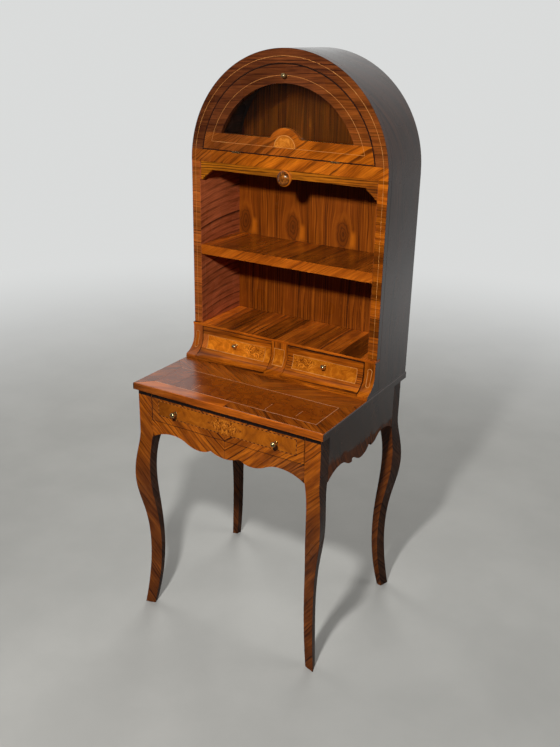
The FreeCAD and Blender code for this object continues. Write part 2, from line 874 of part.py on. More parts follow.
def base_drawer():
    """The drawer at the right of the base; the one at the left is its mirror image."""
    left = size.centre_post_width / 2 + size.small_gap
    right = cabinet_x - size.end_post_width - size.small_gap
    low = base_floor + size.small_gap
    high = deck_under - size.small_gap
    face = cabinet_front - size.base_face_projection
    front_back = face + size.small_front_thickness
    end = back_front - size.run_gap
    side_low = base_floor + size.run_gap
    side_high = high - size.small_side_drop
    wall = size.small_side_thickness
    bottom_low = side_low + size.small_bottom_lift
    bottom_high = bottom_low + size.small_bottom_thickness
    middle = (left + right) / 2

    knob = ball_knob("base_drawer_right_knob", middle, face, base_floor + size.small_knob_height)
    bottom = block(
        "base_drawer_right_bottom",
        (left + wall - size.small_groove, right - wall + size.small_groove),
        (front_back - size.small_groove, end), (bottom_low, bottom_high),
    )
    front = plate("base_drawer_front_block", "YZ", cove_outline(low, high, front_back), left, right)
    side_y, side_z = (front_back, end), (side_low, side_high)
    back_y = (end - wall, end)
    inner = block("base_drawer_inner_board", (left, left + wall), side_y, side_z)
    outer = block("base_drawer_outer_board", (right - wall, right), side_y, side_z)
    parts = [
        cut("base_drawer_right_front", front, knob, bottom),
        cut("base_drawer_right_sides", group("base_drawer_boards", inner, outer), bottom),
        block("base_drawer_right_back", (left + wall, right - wall), back_y, (bottom_high, side_high)),
        bottom,
        knob,
    ]
    for item in parts:
        keep(item)
        keep(mirror(item.Name.replace("right", "left"), item, across))


# Face frame

def hinge_line():
    """Where the hinge pins of the flap lie: just in front of the frame, in the gap."""
    return cabinet_front - size.hinge_stand, lintel_top + size.flap_gap / 2


def hinge_spans():
    """The two hinges, then the three knuckles of a hinge, as stretches along X."""
    low = size.hinge_offset - size.hinge_length / 2
    third = size.hinge_length / 3
    gap = size.knuckle_gap / 2
    frame_knuckle = (low + third + gap, low + 2 * third - gap)
    flap_knuckles = ((low, low + third - gap), (low + 2 * third + gap, low + size.hinge_length))
    return (low, low + size.hinge_length), frame_knuckle, flap_knuckles


def hinge_leaf(name, z, knuckles):
    """A leaf of the hinge at the right, with the knuckles that are its own."""
    pin_y, pin_z = hinge_line()
    span = hinge_spans()[0]
    start = pin_y + size.knuckle_radius + size.knuckle_gap
    parts = [block(name + "_plate", span, (start, pin_y + size.leaf_depth), z)]
    for number, knuckle in enumerate(knuckles, start=1):
        parts.append(block(f"{name}_neck_{number}", knuckle, (pin_y, start), z))
        parts.append(rod(f"{name}_knuckle_{number}", size.knuckle_radius, knuckle, pin_y, pin_z))
    bore = rod(name + "_bore", size.pin_radius + size.pin_gap, span, pin_y, pin_z)
    return cut(name + "_bored", fuse(name + "_blank", *parts), bore)


def hinge_screws(name, z_at, up):
    """Two countersunk screws through the leaf of the hinge at the right, up or down."""
    pin_y = hinge_line()[0]
    y = pin_y + size.hinge_screw_set
    screws = []
    for side in (-1, 1):
        x = size.hinge_offset + side * size.hinge_screw_spread
        tip = z_at + up * size.hinge_screw_length
        neck = z_at + up * size.hinge_screw_head_depth
        low_to_tip = (z_at, tip) if up > 0 else (tip, z_at)
        low_to_neck = (z_at, neck) if up > 0 else (neck, z_at)
        label = f"{name}_{'a' if side < 0 else 'b'}"
        shaft = rod(label + "_shaft", size.hinge_screw_radius, x, y, low_to_tip)
        head = rod(label + "_head", size.hinge_screw_head, x, y, low_to_neck)
        screws.append(fuse(label, shaft, head))
    return group(name, *screws)


def both_sides(name, right):
    return keep(group(name, right, mirror(name + "_left", right, across)))


def knuckle_recess(name):
    """Room for the knuckles of both hinges in the edges that they lie against."""
    pin_y, pin_z = hinge_line()
    low, high = hinge_spans()[0]
    gap = size.knuckle_gap
    right = rod(name, size.knuckle_radius + gap, (low - gap, high + gap), pin_y, pin_z)
    return group(name + "s", right, mirror(name + "_left", right, across))


def face_frame():
    depth = (cabinet_front, shell_front)
    stile = keep(block("stile_right", (stile_x, cabinet_x), depth, (deck_top, spring)))
    keep(mirror("stile_left", stile, across))

    opening = cabinet_x - size.arch_width
    magnet = keep(rod(
        "catch_magnet", size.catch_radius, zero, (shell_front + cabinet_front) / 2,
        (spring + opening, spring + opening + size.catch_magnet_length),
    ))
    ring = half_disc("arch_frame_disc", cabinet_x, depth, lintel_top)
    keep(cut("arch_frame", ring, rod("arch_frame_opening", opening, zero, depth, spring), magnet))

    span, frame_knuckle = hinge_spans()[:2]
    pin_y, pin_z = hinge_line()
    leaf_z = (lintel_top - size.leaf_thickness, lintel_top)
    screws = both_sides("hinge_frame_screws", hinge_screws("frame_screws", lintel_top, -1))
    leaf = hinge_leaf("frame_leaf", leaf_z, (frame_knuckle,))
    leaves = both_sides("hinge_frame_leaves", cut("frame_leaf_right", leaf, screws))
    both_sides("hinge_pins", rod("hinge_pin", size.pin_radius, span, pin_y, pin_z))
    board = block("lintel_board", (-cabinet_x, cabinet_x), depth, (spring, lintel_top))
    rounded = common("lintel_blank", board, rod("lintel_disc", cabinet_x, zero, depth, spring))
    keep(cut("lintel", rounded, leaves, screws, knuckle_recess("lintel_recess")))

    stop_y = (shell_front + size.run_gap, shell_front + size.run_gap + size.stop_thickness)
    stop_ring = half_disc("flap_stop_disc", inner_x, stop_y, lintel_top)
    stop_hole = rod("flap_stop_hole", opening - size.stop_overlap, zero, stop_y, spring)
    keep(cut("flap_stop", stop_ring, stop_hole))


# Glazed flap

def flap_disc(name, radius, y):
    """The round of the flap, its edge bevelled to the back so that it swings clear of the frame."""
    item = doc.addObject("Part::Cone", name)
    item.Placement = FreeCAD.Placement(FreeCAD.Vector(), turns["y"])
    bind(item, "Radius1", radius)
    bind(item, "Radius2", radius - size.flap_bevel)
    bind(item, "Height", y[1] - y[0])
    place(item, zero, y[0], spring)
    return item


def flap():
    front, back = cabinet_front, cabinet_front + size.flap_thickness
    outer = cabinet_x - size.arch_width - size.flap_gap
    opening = outer - size.flap_arch_width
    low = lintel_top + size.flap_gap
    rail_high = low + size.flap_rail_height
    depth = (front, back)
    rebate_front = back - size.glass_rebate_depth
    glass_back = rebate_front + size.glass_thickness
    rebate_radius = opening + size.glass_rebate
    rebate_low = rail_high - size.glass_rebate
    hump_centre = low + size.hump_centre_lift

    knob = keep(ball_knob("flap_knob", zero, front, spring + outer - size.flap_knob_inset))
    strike_top = spring + outer - size.flap_bevel / 2
    strike = keep(rod(
        "catch_strike", size.catch_radius, zero, (front + back) / 2,
        (strike_top - size.catch_strike_thickness, strike_top),
    ))
    keep(half_disc("flap_glass", rebate_radius, (rebate_front, glass_back), rebate_low))
    rebate = half_disc("flap_rebate", rebate_radius, (rebate_front, back), rebate_low)

    above_rail = block("flap_above_rail", (-outer, outer), depth, (rail_high, spring + outer))
    arch = common("flap_arch_blank", flap_disc("flap_arch_disc", outer, depth), above_rail)
    hole = rod("flap_arch_hole", opening, zero, depth, spring)
    keep(cut("flap_arch", arch, hole, rebate, knob, strike))

    screws = both_sides("hinge_flap_screws", hinge_screws("flap_screws", low, 1))
    leaf_z = (low, low + size.leaf_thickness)
    leaf = hinge_leaf("flap_leaf", leaf_z, hinge_spans()[2])
    leaves = both_sides("hinge_flap_leaves", cut("flap_leaf_right", leaf, screws))
    chord = block("flap_rail_board", (-outer, outer), depth, (low, rail_high))
    straight = common("flap_rail_straight", chord, flap_disc("flap_rail_disc", outer, depth))
    hump = half_disc("flap_hump", size.hump_radius, (front, rebate_front), hump_centre, hump_centre)
    rail = fuse("flap_rail_blank", straight, hump)
    keep(cut("flap_rail", rail, rebate, leaves, screws, knuckle_recess("flap_recess")))

    bead_y = (glass_back, back)
    bead_ring = half_disc("bead_ring", rebate_radius, bead_y, rail_high)
    bead_arch = cut("bead_arch", bead_ring, rod("bead_hole", opening, zero, bead_y, spring))
    bead_board = block("bead_board", (-rebate_radius, rebate_radius), bead_y, (rebate_low, rail_high))
    bead_foot = common("bead_foot", bead_board, rod("bead_disc", rebate_radius, zero, bead_y, spring))
    keep(group("glass_beads", bead_arch, bead_foot))


def check_and_write():
    doc.recompute()
    broken = [item.Label for item in doc.Objects if {"Invalid", "Error"} & set(item.State)]
    empty = [item.Label for item in pieces if item.Shape.isNull() or not item.Shape.isValid()]
    if broken or empty:
        raise RuntimeError(f"failed objects: {broken}, bad shapes: {empty}")
    os.makedirs("parts", exist_ok=True)
    for item in pieces:
        item.Shape.exportStep(f"parts/{item.Label}.step")
        print(item.Label, len(item.Shape.Solids), round(item.Shape.Volume))


table_frame()
drawer_supports()
table_drawer()
carcase()
valance()
table_top_and_screws(*base_frame())
base_drawer()
face_frame()
flap()
check_and_write()
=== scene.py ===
import math
import bmesh
import bpy
from mathutils import Matrix, Vector


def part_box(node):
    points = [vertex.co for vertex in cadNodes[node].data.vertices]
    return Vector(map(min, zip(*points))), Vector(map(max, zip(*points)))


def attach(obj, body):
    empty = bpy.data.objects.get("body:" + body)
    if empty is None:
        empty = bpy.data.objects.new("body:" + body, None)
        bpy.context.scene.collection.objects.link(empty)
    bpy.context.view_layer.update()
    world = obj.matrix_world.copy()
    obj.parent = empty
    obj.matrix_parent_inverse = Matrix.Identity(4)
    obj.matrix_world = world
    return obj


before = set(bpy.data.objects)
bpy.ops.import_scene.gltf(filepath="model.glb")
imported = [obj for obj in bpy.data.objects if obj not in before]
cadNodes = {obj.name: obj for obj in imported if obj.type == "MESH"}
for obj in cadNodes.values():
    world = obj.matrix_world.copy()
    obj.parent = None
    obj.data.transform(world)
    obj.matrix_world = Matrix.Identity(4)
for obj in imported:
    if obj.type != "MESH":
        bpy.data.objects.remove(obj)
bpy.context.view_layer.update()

print("frame loaded:", len(cadNodes), "nodes")


# the camera stands where the photograph was taken
lens = {
    "place": (1.16574, -1.91522, 1.64712),
    "yaw": 30.8131,      # degrees to the left of the desk's front
    "pitch": 22.0231,    # degrees down
    "roll": 1.1368,
    "pixels": 856.08,    # focal length on a frame 747 high
    "frameLong": 747.0,
    "sensor": 36.0,
}


def setCamera():
    yaw = math.radians(lens["yaw"])
    pitch = math.radians(lens["pitch"])
    roll = math.radians(lens["roll"])
    right = Vector((math.cos(yaw), math.sin(yaw), 0.0))
    ahead = Vector((-math.sin(yaw) * math.cos(pitch), math.cos(yaw) * math.cos(pitch), -math.sin(pitch)))
    upward = right.cross(ahead)
    tiltedRight = right * math.cos(roll) + upward * math.sin(roll)
    tiltedUp = upward * math.cos(roll) - right * math.sin(roll)
    eye = bpy.data.cameras.new("deskCamera")
    eye.sensor_width = lens["sensor"]
    eye.lens = lens["pixels"] / lens["frameLong"] * lens["sensor"]
    camera = bpy.data.objects.new("deskCamera", eye)
    bpy.context.scene.collection.objects.link(camera)
    turn = Matrix((tiltedRight, tiltedUp, -ahead)).transposed().to_4x4()
    camera.matrix_world = Matrix.Translation(lens["place"]) @ turn
    bpy.context.scene.camera = camera


setCamera()
print("camera set")


# small helpers for the finishes' node trees
bench = {}   # holds the node tree that is open: one finish is made at a time


def openTree(holder):
    holder.use_nodes = True
    holder.node_tree.nodes.clear()
    bench["tree"] = holder.node_tree
    return holder


def newFinish(name):
    return openTree(bpy.data.materials.new(name))


def put(kind, feeds=None, **marks):
    made = bench["tree"].nodes.new(kind)
    for mark, value in marks.items():
        setattr(made, mark, value)
    for socket, value in (feeds or {}).items():
        if isinstance(value, bpy.types.NodeSocket):
            bench["tree"].links.new(value, made.inputs[socket])
        else:
            made.inputs[socket].default_value = value
    return made


def dents(look, height):
    feeds = {"Strength": look["bump"], "Distance": look["depth"], "Height": height}
    return put("ShaderNodeBump", feeds).outputs[0]


def show(shader):
    put("ShaderNodeOutputMaterial", {"Surface": shader.outputs[0]})


def calc(way, first, second=0.0, third=0.0):
    return put("ShaderNodeMath", {0: first, 1: second, 2: third}, operation=way).outputs[0]


def times(first, *others):
    for other in others:
        first = calc("MULTIPLY", first, other)
    return first


def onto(value, scale, base):
    return calc("MULTIPLY_ADD", value, scale, base)


def centred(value):
    return calc("SUBTRACT", value, 0.5)   # a cloud's values swing about a half


def vecCalc(way, first, second=(0.0, 0.0, 0.0)):
    return put("ShaderNodeVectorMath", {0: first, 1: second}, operation=way).outputs[0]


def farness(place):
    return put("ShaderNodeVectorMath", {0: place}, operation="LENGTH").outputs["Value"]


def span(value, low, high, toLow=0.0, toHigh=1.0):
    made = put("ShaderNodeMapRange", {0: value, 1: low, 2: high, 3: toLow, 4: toHigh})
    made.interpolation_type = "SMOOTHSTEP"
    return made.outputs[0]


def overCloud(value, toLow=0.0, toHigh=1.0):
    return span(value, 0.3, 0.7, toLow, toHigh)   # most of a cloud's values lie between these


def tint(share, first, second):
    made = put("ShaderNodeMix", data_type="RGBA", blend_type="MIX")
    for index, value in ((0, share), (6, first), (7, second)):
        if isinstance(value, bpy.types.NodeSocket):
            bench["tree"].links.new(value, made.inputs[index])
        elif index:
            made.inputs[index].default_value = (*value[:3], 1.0)
        else:
            made.inputs[index].default_value = value
    return made.outputs[2]


def cloud(place, size, detail=3.0, rough=0.55, bend=0.0, out=0):
    feeds = {"Vector": place, "Scale": size, "Detail": detail, "Roughness": rough, "Distortion": bend}
    return put("ShaderNodeTexNoise", feeds).outputs[out]


def drawnCloud(first, firstSize, second, secondSize, detail=2.0, rough=0.55, seed=0.0):
    # a cloud drawn out by its own amount each way
    place = joinPlace(times(first, firstSize), times(second, secondSize), seed)
    return cloud(place, 1.0, detail, rough)


def chance(count):
    return put("ShaderNodeTexWhiteNoise", {"W": count}, noise_dimensions="1D").outputs["Value"]


def tones(value, stops):
    made = put("ShaderNodeValToRGB", {0: value})
    while len(made.color_ramp.elements) < len(stops):
        made.color_ramp.elements.new(0.5)
    for element, (spot, colour) in zip(made.color_ramp.elements, stops):
        element.position = spot
        element.color = (*colour, 1.0)
    return made.outputs[0]


def splitPlace(place):
    parts = put("ShaderNodeSeparateXYZ", {0: place}).outputs
    return parts[0], parts[1], parts[2]


def joinPlace(x, y, z):
    return put("ShaderNodeCombineXYZ", {0: x, 1: y, 2: z}).outputs[0]


def ownPlace():
    return put("ShaderNodeTexCoord").outputs["Object"]


def scaled(colour, lift):
    return vecCalc("MULTIPLY", colour, joinPlace(lift, lift, lift))


# woods: four tones each, from the dark streaks to the light wood between them
woods = {
    "gold": ((0.050, 0.011, 0.002), (0.165, 0.036, 0.0025), (0.300, 0.065, 0.003), (0.500, 0.125, 0.006)),
    "amber": ((0.038, 0.010, 0.003), (0.105, 0.023, 0.0025), (0.180, 0.038, 0.003), (0.300, 0.072, 0.005)),
    "russet": ((0.016, 0.005, 0.003), (0.048, 0.012, 0.0045), (0.083, 0.021, 0.006), (0.140, 0.037, 0.0095)),
    "rust": ((0.026, 0.007, 0.003), (0.090, 0.022, 0.004), (0.160, 0.038, 0.006), (0.270, 0.070, 0.010)),
    "mauve": ((0.045, 0.012, 0.006), (0.240, 0.058, 0.019), (0.370, 0.088, 0.029), (0.460, 0.115, 0.040)),
    "coral": ((0.070, 0.017, 0.004), (0.205, 0.047, 0.008), (0.325, 0.078, 0.012), (0.470, 0.120, 0.018)),
    "dusk": ((0.010, 0.006, 0.005), (0.024, 0.011, 0.008), (0.042, 0.018, 0.011), (0.070, 0.028, 0.016)),
    "umber": ((0.014, 0.008, 0.006), (0.036, 0.016, 0.010), (0.066, 0.027, 0.015), (0.105, 0.043, 0.022)),
    "olive": ((0.045, 0.014, 0.002), (0.160, 0.046, 0.003), (0.300, 0.086, 0.004), (0.480, 0.150, 0.008)),
    "flame": ((0.080, 0.018, 0.003), (0.220, 0.045, 0.003), (0.370, 0.078, 0.004), (0.540, 0.130, 0.008)),
    "oak": ((0.150, 0.080, 0.035), (0.260, 0.150, 0.070), (0.360, 0.220, 0.110), (0.440, 0.280, 0.150)),
    "stained": ((0.035, 0.018, 0.010), (0.075, 0.038, 0.020), (0.115, 0.058, 0.030), (0.150, 0.078, 0.042)),
}
plainGrain = {
    "wood": "amber", "turn": (0, 0, 0), "shift": (0, 0, 0), "mirror": False,
    "rings": 75.0,       # dark lines to a metre
    "finer": 2.7,        # fine lines to each dark line
    "soft": 0.50,        # where between two lines the darkening starts
    "uneven": 3.0,       # how far the lines stray from even spacing
    "weak": 0.10,        # strength of the faintest line
    "streak": 0.95, "second": 0.62,   # strength of the dark lines and of the fine ones
    "wander": 0.012, "wave": 5.0,     # how far and how often the lines sway
    "cloudy": 1.4,       # contrast of the light wood
    "rough": 0.26, "coat": 0.42, "coatRough": 0.10, "bump": 0.10,
}
wallGrain = {   # the cabinet's inner walls, where the lines bend down towards the front
    "wood": "mauve", "turn": (0, 0, -90), "rings": 52.0, "soft": 0.45, "wander": 0.006, "wave": 3.0,
    "second": 0.25, "coat": 0.18, "uneven": 1.4, "weak": 0.70, "sweep": 0.55, "sweepFrom": 0.24,
}
sideGrain = {"wood": "dusk", "turn": (0, 90, 0), "streak": 0.6, "rings": 40.0}   # dark outer sides
rearGrain = {"wood": "stained", "turn": (0, 90, 0), "streak": 0.5}               # plain wood on the back
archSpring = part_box("arched_top")[0].z   # where the arch springs from the uprights
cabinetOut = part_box("arched_top")[1].x
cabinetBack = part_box("cabinet_side_right")[1].y
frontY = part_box("stile_right")[0].y      # front face of the cabinet
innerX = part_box("stile_right")[0].x      # inner edge of the stiles
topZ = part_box("table_top")[1].z


def grainPlace(look):
    place = ownPlace()
    if look["mirror"]:   # leaves opened like a book about the middle of the desk
        x, y, z = splitPlace(place)
        place = joinPlace(calc("ABSOLUTE", x), y, z)
    if "sweep" in look:
        y, z = splitPlace(place)[1:]
        fall = calc("MAXIMUM", calc("SUBTRACT", look["sweepFrom"], y), 0.0)
        place = joinPlace(0.0, y, onto(times(fall, fall), look["sweep"], z))
    turn = [math.radians(part) for part in look["turn"]]
    turned = put("ShaderNodeMapping", {"Vector": place, "Location": look["shift"], "Rotation": turn})
    return turned.outputs[0]


# strips of veneer laid side by side, by turns lighter and darker, with a thin dark joint between
jointLook = {"jogSize": 5.0, "jog": 0.25, "thin": 0.0002, "wide": 0.0011, "dark": 0.5}


def leafSteps(look, place):
    width, low, high, axis = look["steps"]
    across = splitPlace(place)[axis]
    jog = cloud(place, jointLook["jogSize"], 1.0)
    run = onto(jog, jointLook["jog"], calc("DIVIDE", across, width))
    count = calc("FLOOR", run)
    turn = calc("MODULO", calc("ABSOLUTE", count), 2.0)
    share = onto(chance(count), 0.5, times(turn, 0.5))
    part = calc("FRACT", run)
    edge = times(calc("MINIMUM", part, calc("SUBTRACT", 1.0, part)), width)
    joint = span(edge, jointLook["thin"], jointLook["wide"], jointLook["dark"], 1.0)
    return times(span(share, 0.0, 1.0, low, high), joint)


# growth lines: slow darkening, then a sharp edge, each line with its own strength
lineLook = {
    "alongSize": 1.5, "acrossSize": 0.3,              # how slowly the spacing changes
    "crest": 0.92, "edge": 0.93,                      # where a line is darkest, and where it breaks off
    "fadeAlong": 9.0, "fadeAcross": 7.3, "fade": (0.34, 0.60, 0.35, 1.0),   # lines that come and go
}


def ringLines(look, along, across, rate, seed):
    wide = rate * lineLook["acrossSize"]
    uneven = centred(drawnCloud(along, lineLook["alongSize"], across, wide, seed=seed))
    count = onto(uneven, look["uneven"], times(across, rate))
    line = calc("FLOOR", count)
    part = calc("FRACT", count)
    rising = span(part, look["soft"], lineLook["crest"])
    falling = span(part, lineLook["edge"], 1.0, 1.0, 0.0)
    strength = span(chance(line), 0.1, 1.0, look["weak"], 1.0)
    fade = drawnCloud(along, lineLook["fadeAlong"], line, lineLook["fadeAcross"], seed=seed)
    return times(rising, falling, strength, span(fade, *lineLook["fade"]))


# the wood between the lines: drawn-out mist, broad patches and fine fibres
figureLook = {
    "mistAlong": 6.0, "mistAcross": 38.0, "mistSpread": 0.30, "brownMist": (0.30, 0.47, 0.9, 0.0),
    "patchSize": 7.0, "patchLift": (0.86, 1.12),
    "fibreAlong": 22.0, "fibreAcross": 420.0, "fibreLift": (0.76, 1.20),
    "brownTo": 0.55, "darkFrom": 0.45,                # how strong a line turns brown, then dark
}


def streakFigure(look, place):
    # place runs along the grain in x, across it in y and z
    grainTones = woods[look["wood"]]
    if "toward" in look:   # the colour shifts from one set of tones to another along x
        other, start, end = look["toward"]
        share = span(splitPlace(ownPlace())[0], start, end)
        grainTones = [tint(share, *pair) for pair in zip(grainTones, woods[other])]
    dark, brown, body, light = grainTones
    wave = look["wave"]
    sway = cloud(vecCalc("MULTIPLY", place, (wave, wave * 2, wave * 2)), 1.0, 3.0, 0.45)
    along, side, up = splitPlace(place)
    across = calc("ADD", side, up)
    across = onto(centred(sway), look["wander"] * 2, across)
    strong = ringLines(look, along, across, look["rings"], 0.0)
    finer = ringLines(look, along, across, look["rings"] * look["finer"], 4.0)
    tone = calc("MAXIMUM", times(strong, look["streak"]), times(finer, look["second"]))
    mist = drawnCloud(along, figureLook["mistAlong"], across, figureLook["mistAcross"], 4.0, 0.6)
    patch = cloud(place, figureLook["patchSize"], 2.0)
    fibre = drawnCloud(along, figureLook["fibreAlong"], across, figureLook["fibreAcross"])
    spread = figureLook["mistSpread"] / look["cloudy"]
    colour = tint(span(mist, 0.5 - spread / 2, 0.5 + spread), body, light)
    colour = tint(span(mist, *figureLook["brownMist"]), colour, brown)
    colour = tint(span(tone, 0.0, figureLook["brownTo"]), colour, brown)
    colour = tint(span(tone, figureLook["darkFrom"], 1.0), colour, dark)
    lift = overCloud(patch, *figureLook["patchLift"])
    lift = times(lift, overCloud(fibre, *figureLook["fibreLift"]))
    if "steps" in look:
        lift = times(lift, leafSteps(look, place))
    if "endLeaf" in look:   # a brighter leaf at the left end
        start, end, bright = look["endLeaf"]
        lift = times(lift, span(splitPlace(ownPlace())[0], start, end, bright, 1.0))
    height = onto(fibre, 0.5, times(tone, -0.5))
    return scaled(colour, lift), height, patch


def grainColour(grain):
    look = {**plainGrain, **grain}
    return streakFigure(look, grainPlace(look))[0]


# old polish: a thin coat over the wood, smoother in some patches than in others
polish = {"patch": (0.25, 0.75), "smooth": 0.75, "dull": 1.3, "depth": 0.0006, "bend": 1.5, "shine": 0.06}


def polishedWood(finish, look, colour, height, patch):
    rough = look["rough"]
    gloss = span(patch, *polish["patch"], rough * polish["smooth"], rough * polish["dull"])
    feeds = {
        "Base Color": colour, "Roughness": gloss, "Normal": dents({**polish, **look}, height),
        "IOR": polish["bend"], "Specular IOR Level": polish["shine"],
        "Coat Weight": look["coat"], "Coat Roughness": look["coatRough"],
    }
    show(put("ShaderNodeBsdfPrincipled", feeds))
    return finish


# how far from a face of the carcase its wood gives way to the next
turnOver = {
    "seam": 0.0012, "inside": (0.0003, 0.0008), "rear": (0.0012, 0.0006), "outside": (0.0009, 0.0003),
    "footGloss": (0.75, 1.25, 0.95, 0.30),    # two heights, then the coat of the dark sides at each
    "crownGloss": (1.40, 1.58, 0.30, 0.62),
}


def veneer(name, **changes):
    look = {**plainGrain, **changes}
    finish = newFinish(name)
    colour, height, patch = streakFigure(look, grainPlace(look))
    x, y, z = splitPlace(ownPlace())
    away = calc("ABSOLUTE", x)
    if "seam" in look:   # the glue line where two leaves meet in the middle
        glue = span(away, 0.0, turnOver["seam"], look["seam"], 0.0)
        colour = tint(glue, colour, woods["dusk"][1])
    if "inside" in look:   # the edge towards the bay wears the wall's wood
        start, end = [look["inside"] + part for part in turnOver["inside"]]
        colour = tint(span(away, start, end, 1.0, 0.0), colour, grainColour(wallGrain))
    if "rear" in look:   # edges on the back are plain stained wood
        start, end = [look["rear"] - part for part in turnOver["rear"]]
        colour = tint(span(y, start, end), colour, grainColour(rearGrain))
    if "outside" in look:   # the outside is dark: flat sides, or sides and the barrel of the arch
        if not look.get("flat"):
            rise = calc("MAXIMUM", calc("SUBTRACT", z, archSpring), 0.0)
            away = farness(joinPlace(x, 0.0, rise))
        start, end = [look["outside"] - part for part in turnOver["outside"]]
        outer = span(away, start, end)
        colour = tint(outer, colour, grainColour(sideGrain))
        gloss = [span(z, *turnOver[part]) for part in ("footGloss", "crownGloss")]
        look["coat"] = span(outer, 0.0, 1.0, look["coat"], calc("MAXIMUM", *gloss))
    return polishedWood(finish, look, colour, height, patch)


# burl: curly wood for the panels, in places with knots of small buds
plainBurl = {
    "mirror": False, "shift": (0, 0, 0), "turn": (0, 0, 0),
    "rough": 0.22, "coat": 0.38, "coatRough": 0.10, "bump": 0.06,
    "stir": 0.45,        # the swirls are coarser than the figure by this
    "patchSize": 9.0, "fibreSize": 420.0, "fibreLift": (0.92, 1.07),
    "knots": (), "knotScale": 62.0, "knotEdge": (0.55, 1.15, 0.95, 0.0), "jogSize": 45.0, "jog": 1.2,
    "knotTones": ((0.34, (0.085, 0.020, 0.003)), (0.45, (0.26, 0.062, 0.004)), (0.53, (0.45, 0.122, 0.007)),
                  (0.64, (0.64, 0.205, 0.016))),
    "rimEdge": 0.0006,
}


def burl(name, **changes):
    look = {**plainBurl, **changes}
    finish = newFinish(name)
    place = grainPlace(look)
    stir = cloud(place, look["scale"] * look["stir"], 2.0, out="Color")
    stir = vecCalc("SUBTRACT", stir, (0.5, 0.5, 0.5))
    push = look["swirl"] * 2
    curled = vecCalc("ADD", place, vecCalc("MULTIPLY", stir, (push, push, push)))
    figure = cloud(curled, look["scale"], 5.0, 0.6, 1.2)
    colour = tones(figure, look["stops"])
    for middle, wide, tall in look["knots"]:   # zones where the wood curls round small buds
        gap = vecCalc("SUBTRACT", place, middle)
        gap = vecCalc("MULTIPLY", gap, (1.0 / wide, 0.0, 1.0 / tall))
        curls = cloud(vecCalc("ADD", place, middle), look["knotScale"], 2.0, 0.5, 3.5)
        jog = centred(cloud(place, look["jogSize"], 2.0))
        knot = span(onto(jog, look["jog"], farness(gap)), *look["knotEdge"])
        colour = tint(knot, colour, tones(curls, look["knotTones"]))
    if "lift" in look:   # one end of the leaf is made paler or darker
        colour = scaled(colour, span(splitPlace(ownPlace())[0], *look["lift"]))
    if "rim" in look:   # a plain turned rim round the figured wood
        level, radius = look["rim"]
        x, z = splitPlace(place)[::2]
        away = farness(joinPlace(x, 0.0, calc("SUBTRACT", z, level)))
        colour = tint(span(away, radius - look["rimEdge"], radius), colour, woods["gold"][3])
    fibre = cloud(curled, look["fibreSize"], 2.0)
    colour = scaled(colour, overCloud(fibre, *look["fibreLift"]))
    return polishedWood(finish, look, colour, figure, cloud(place, look["patchSize"], 2.0))


# cabinet back: upright leaves of one flitch laid side by side, each with the same oval eye
backLook = {
    "wood": "amber", "coat": 0.15, "rough": 0.34,
    "joint": 0.006, "leaf": 0.165,                    # where two leaves meet, and their width
    "slowAcross": 9.0, "slowUp": 3.0, "sway": 0.030,
    "bands": (70.0, 2.4), "veins": (190.0, 4.0),      # sizes across the leaf and up it
    "bandShare": 0.55, "veinShare": 0.75, "base": 0.56,
    "fineRate": 135.0, "fineShare": -0.30, "fine": {"uneven": 2.5, "soft": 0.3, "weak": 0.15},
    "toneSpots": (0.22, 0.38, 0.54, 0.74),
    "flecks": (230.0, 34.0), "fleckSize": (0.60, 0.72), "fleckFade": (0.89, 0.95, 0.55, 0.08),
    "paleEdge": (0.0012, 0.0040, 0.6, 0.0), "darkEdge": (0.0, 0.0016, 0.8, 0.0),
    "patchSize": 8.0, "patchLift": (0.88, 1.10), "rearSkin": (0.003, 0.002),
}
eyeLook = {
    "across": 0.074, "high": 1.104, "wide": 0.019, "tall": 0.041,
    "reachUp": 0.075, "reachAcross": 0.06,            # how far away the lines start to part
    "jogSize": 60.0, "jog": 0.55, "rings": 17.0, "ringTone": (0.0, 0.95, 0.0, 0.75), "ground": 0.4,
    "core": (0.0, 0.45, 0.55, 0.0), "haloIn": (0.95, 1.2), "haloOut": (1.25, 1.8, 0.35, 0.0),
    "edge": (0.65, 1.30, 0.85, 0.0),
    "glowShare": 0.75, "glowLines": ((0.006, 0.022), (0.024, 0.050, 1.0, 0.0)),
    "glowRise": ((-0.050, -0.020), (-0.002, 0.020, 1.0, 0.0)), "glowAcross": (0.004, 0.020),
}


def eyeFigure(colour, across, rise, lines):
    # an oval of dark rings in a pale halo, and a bright flame at its lower right
    dark, brown, body, light = woods[backLook["wood"]]
    wide = calc("DIVIDE", across, eyeLook["wide"])
    oval = joinPlace(wide, calc("DIVIDE", rise, eyeLook["tall"]), 0.0)
    jog = centred(cloud(ownPlace(), eyeLook["jogSize"], 2.0))
    ring = onto(jog, eyeLook["jog"], farness(oval))
    wave = calc("SINE", times(ring, eyeLook["rings"]))
    ground = tint(eyeLook["ground"], brown, body)
    eyeColour = tint(span(wave, *eyeLook["ringTone"]), ground, dark)
    eyeColour = tint(span(ring, *eyeLook["core"]), eyeColour, dark)
    halo = times(span(ring, *eyeLook["haloIn"]), span(ring, *eyeLook["haloOut"]))
    colour = tint(halo, colour, light)
    colour = tint(span(ring, *eyeLook["edge"]), colour, eyeColour)
    limits = [span(lines, *part) for part in eyeLook["glowLines"]]
    limits += [span(rise, *part) for part in eyeLook["glowRise"]]
    glow = times(*limits, span(across, *eyeLook["glowAcross"]), eyeLook["glowShare"])
    return tint(glow, colour, woods["gold"][3])


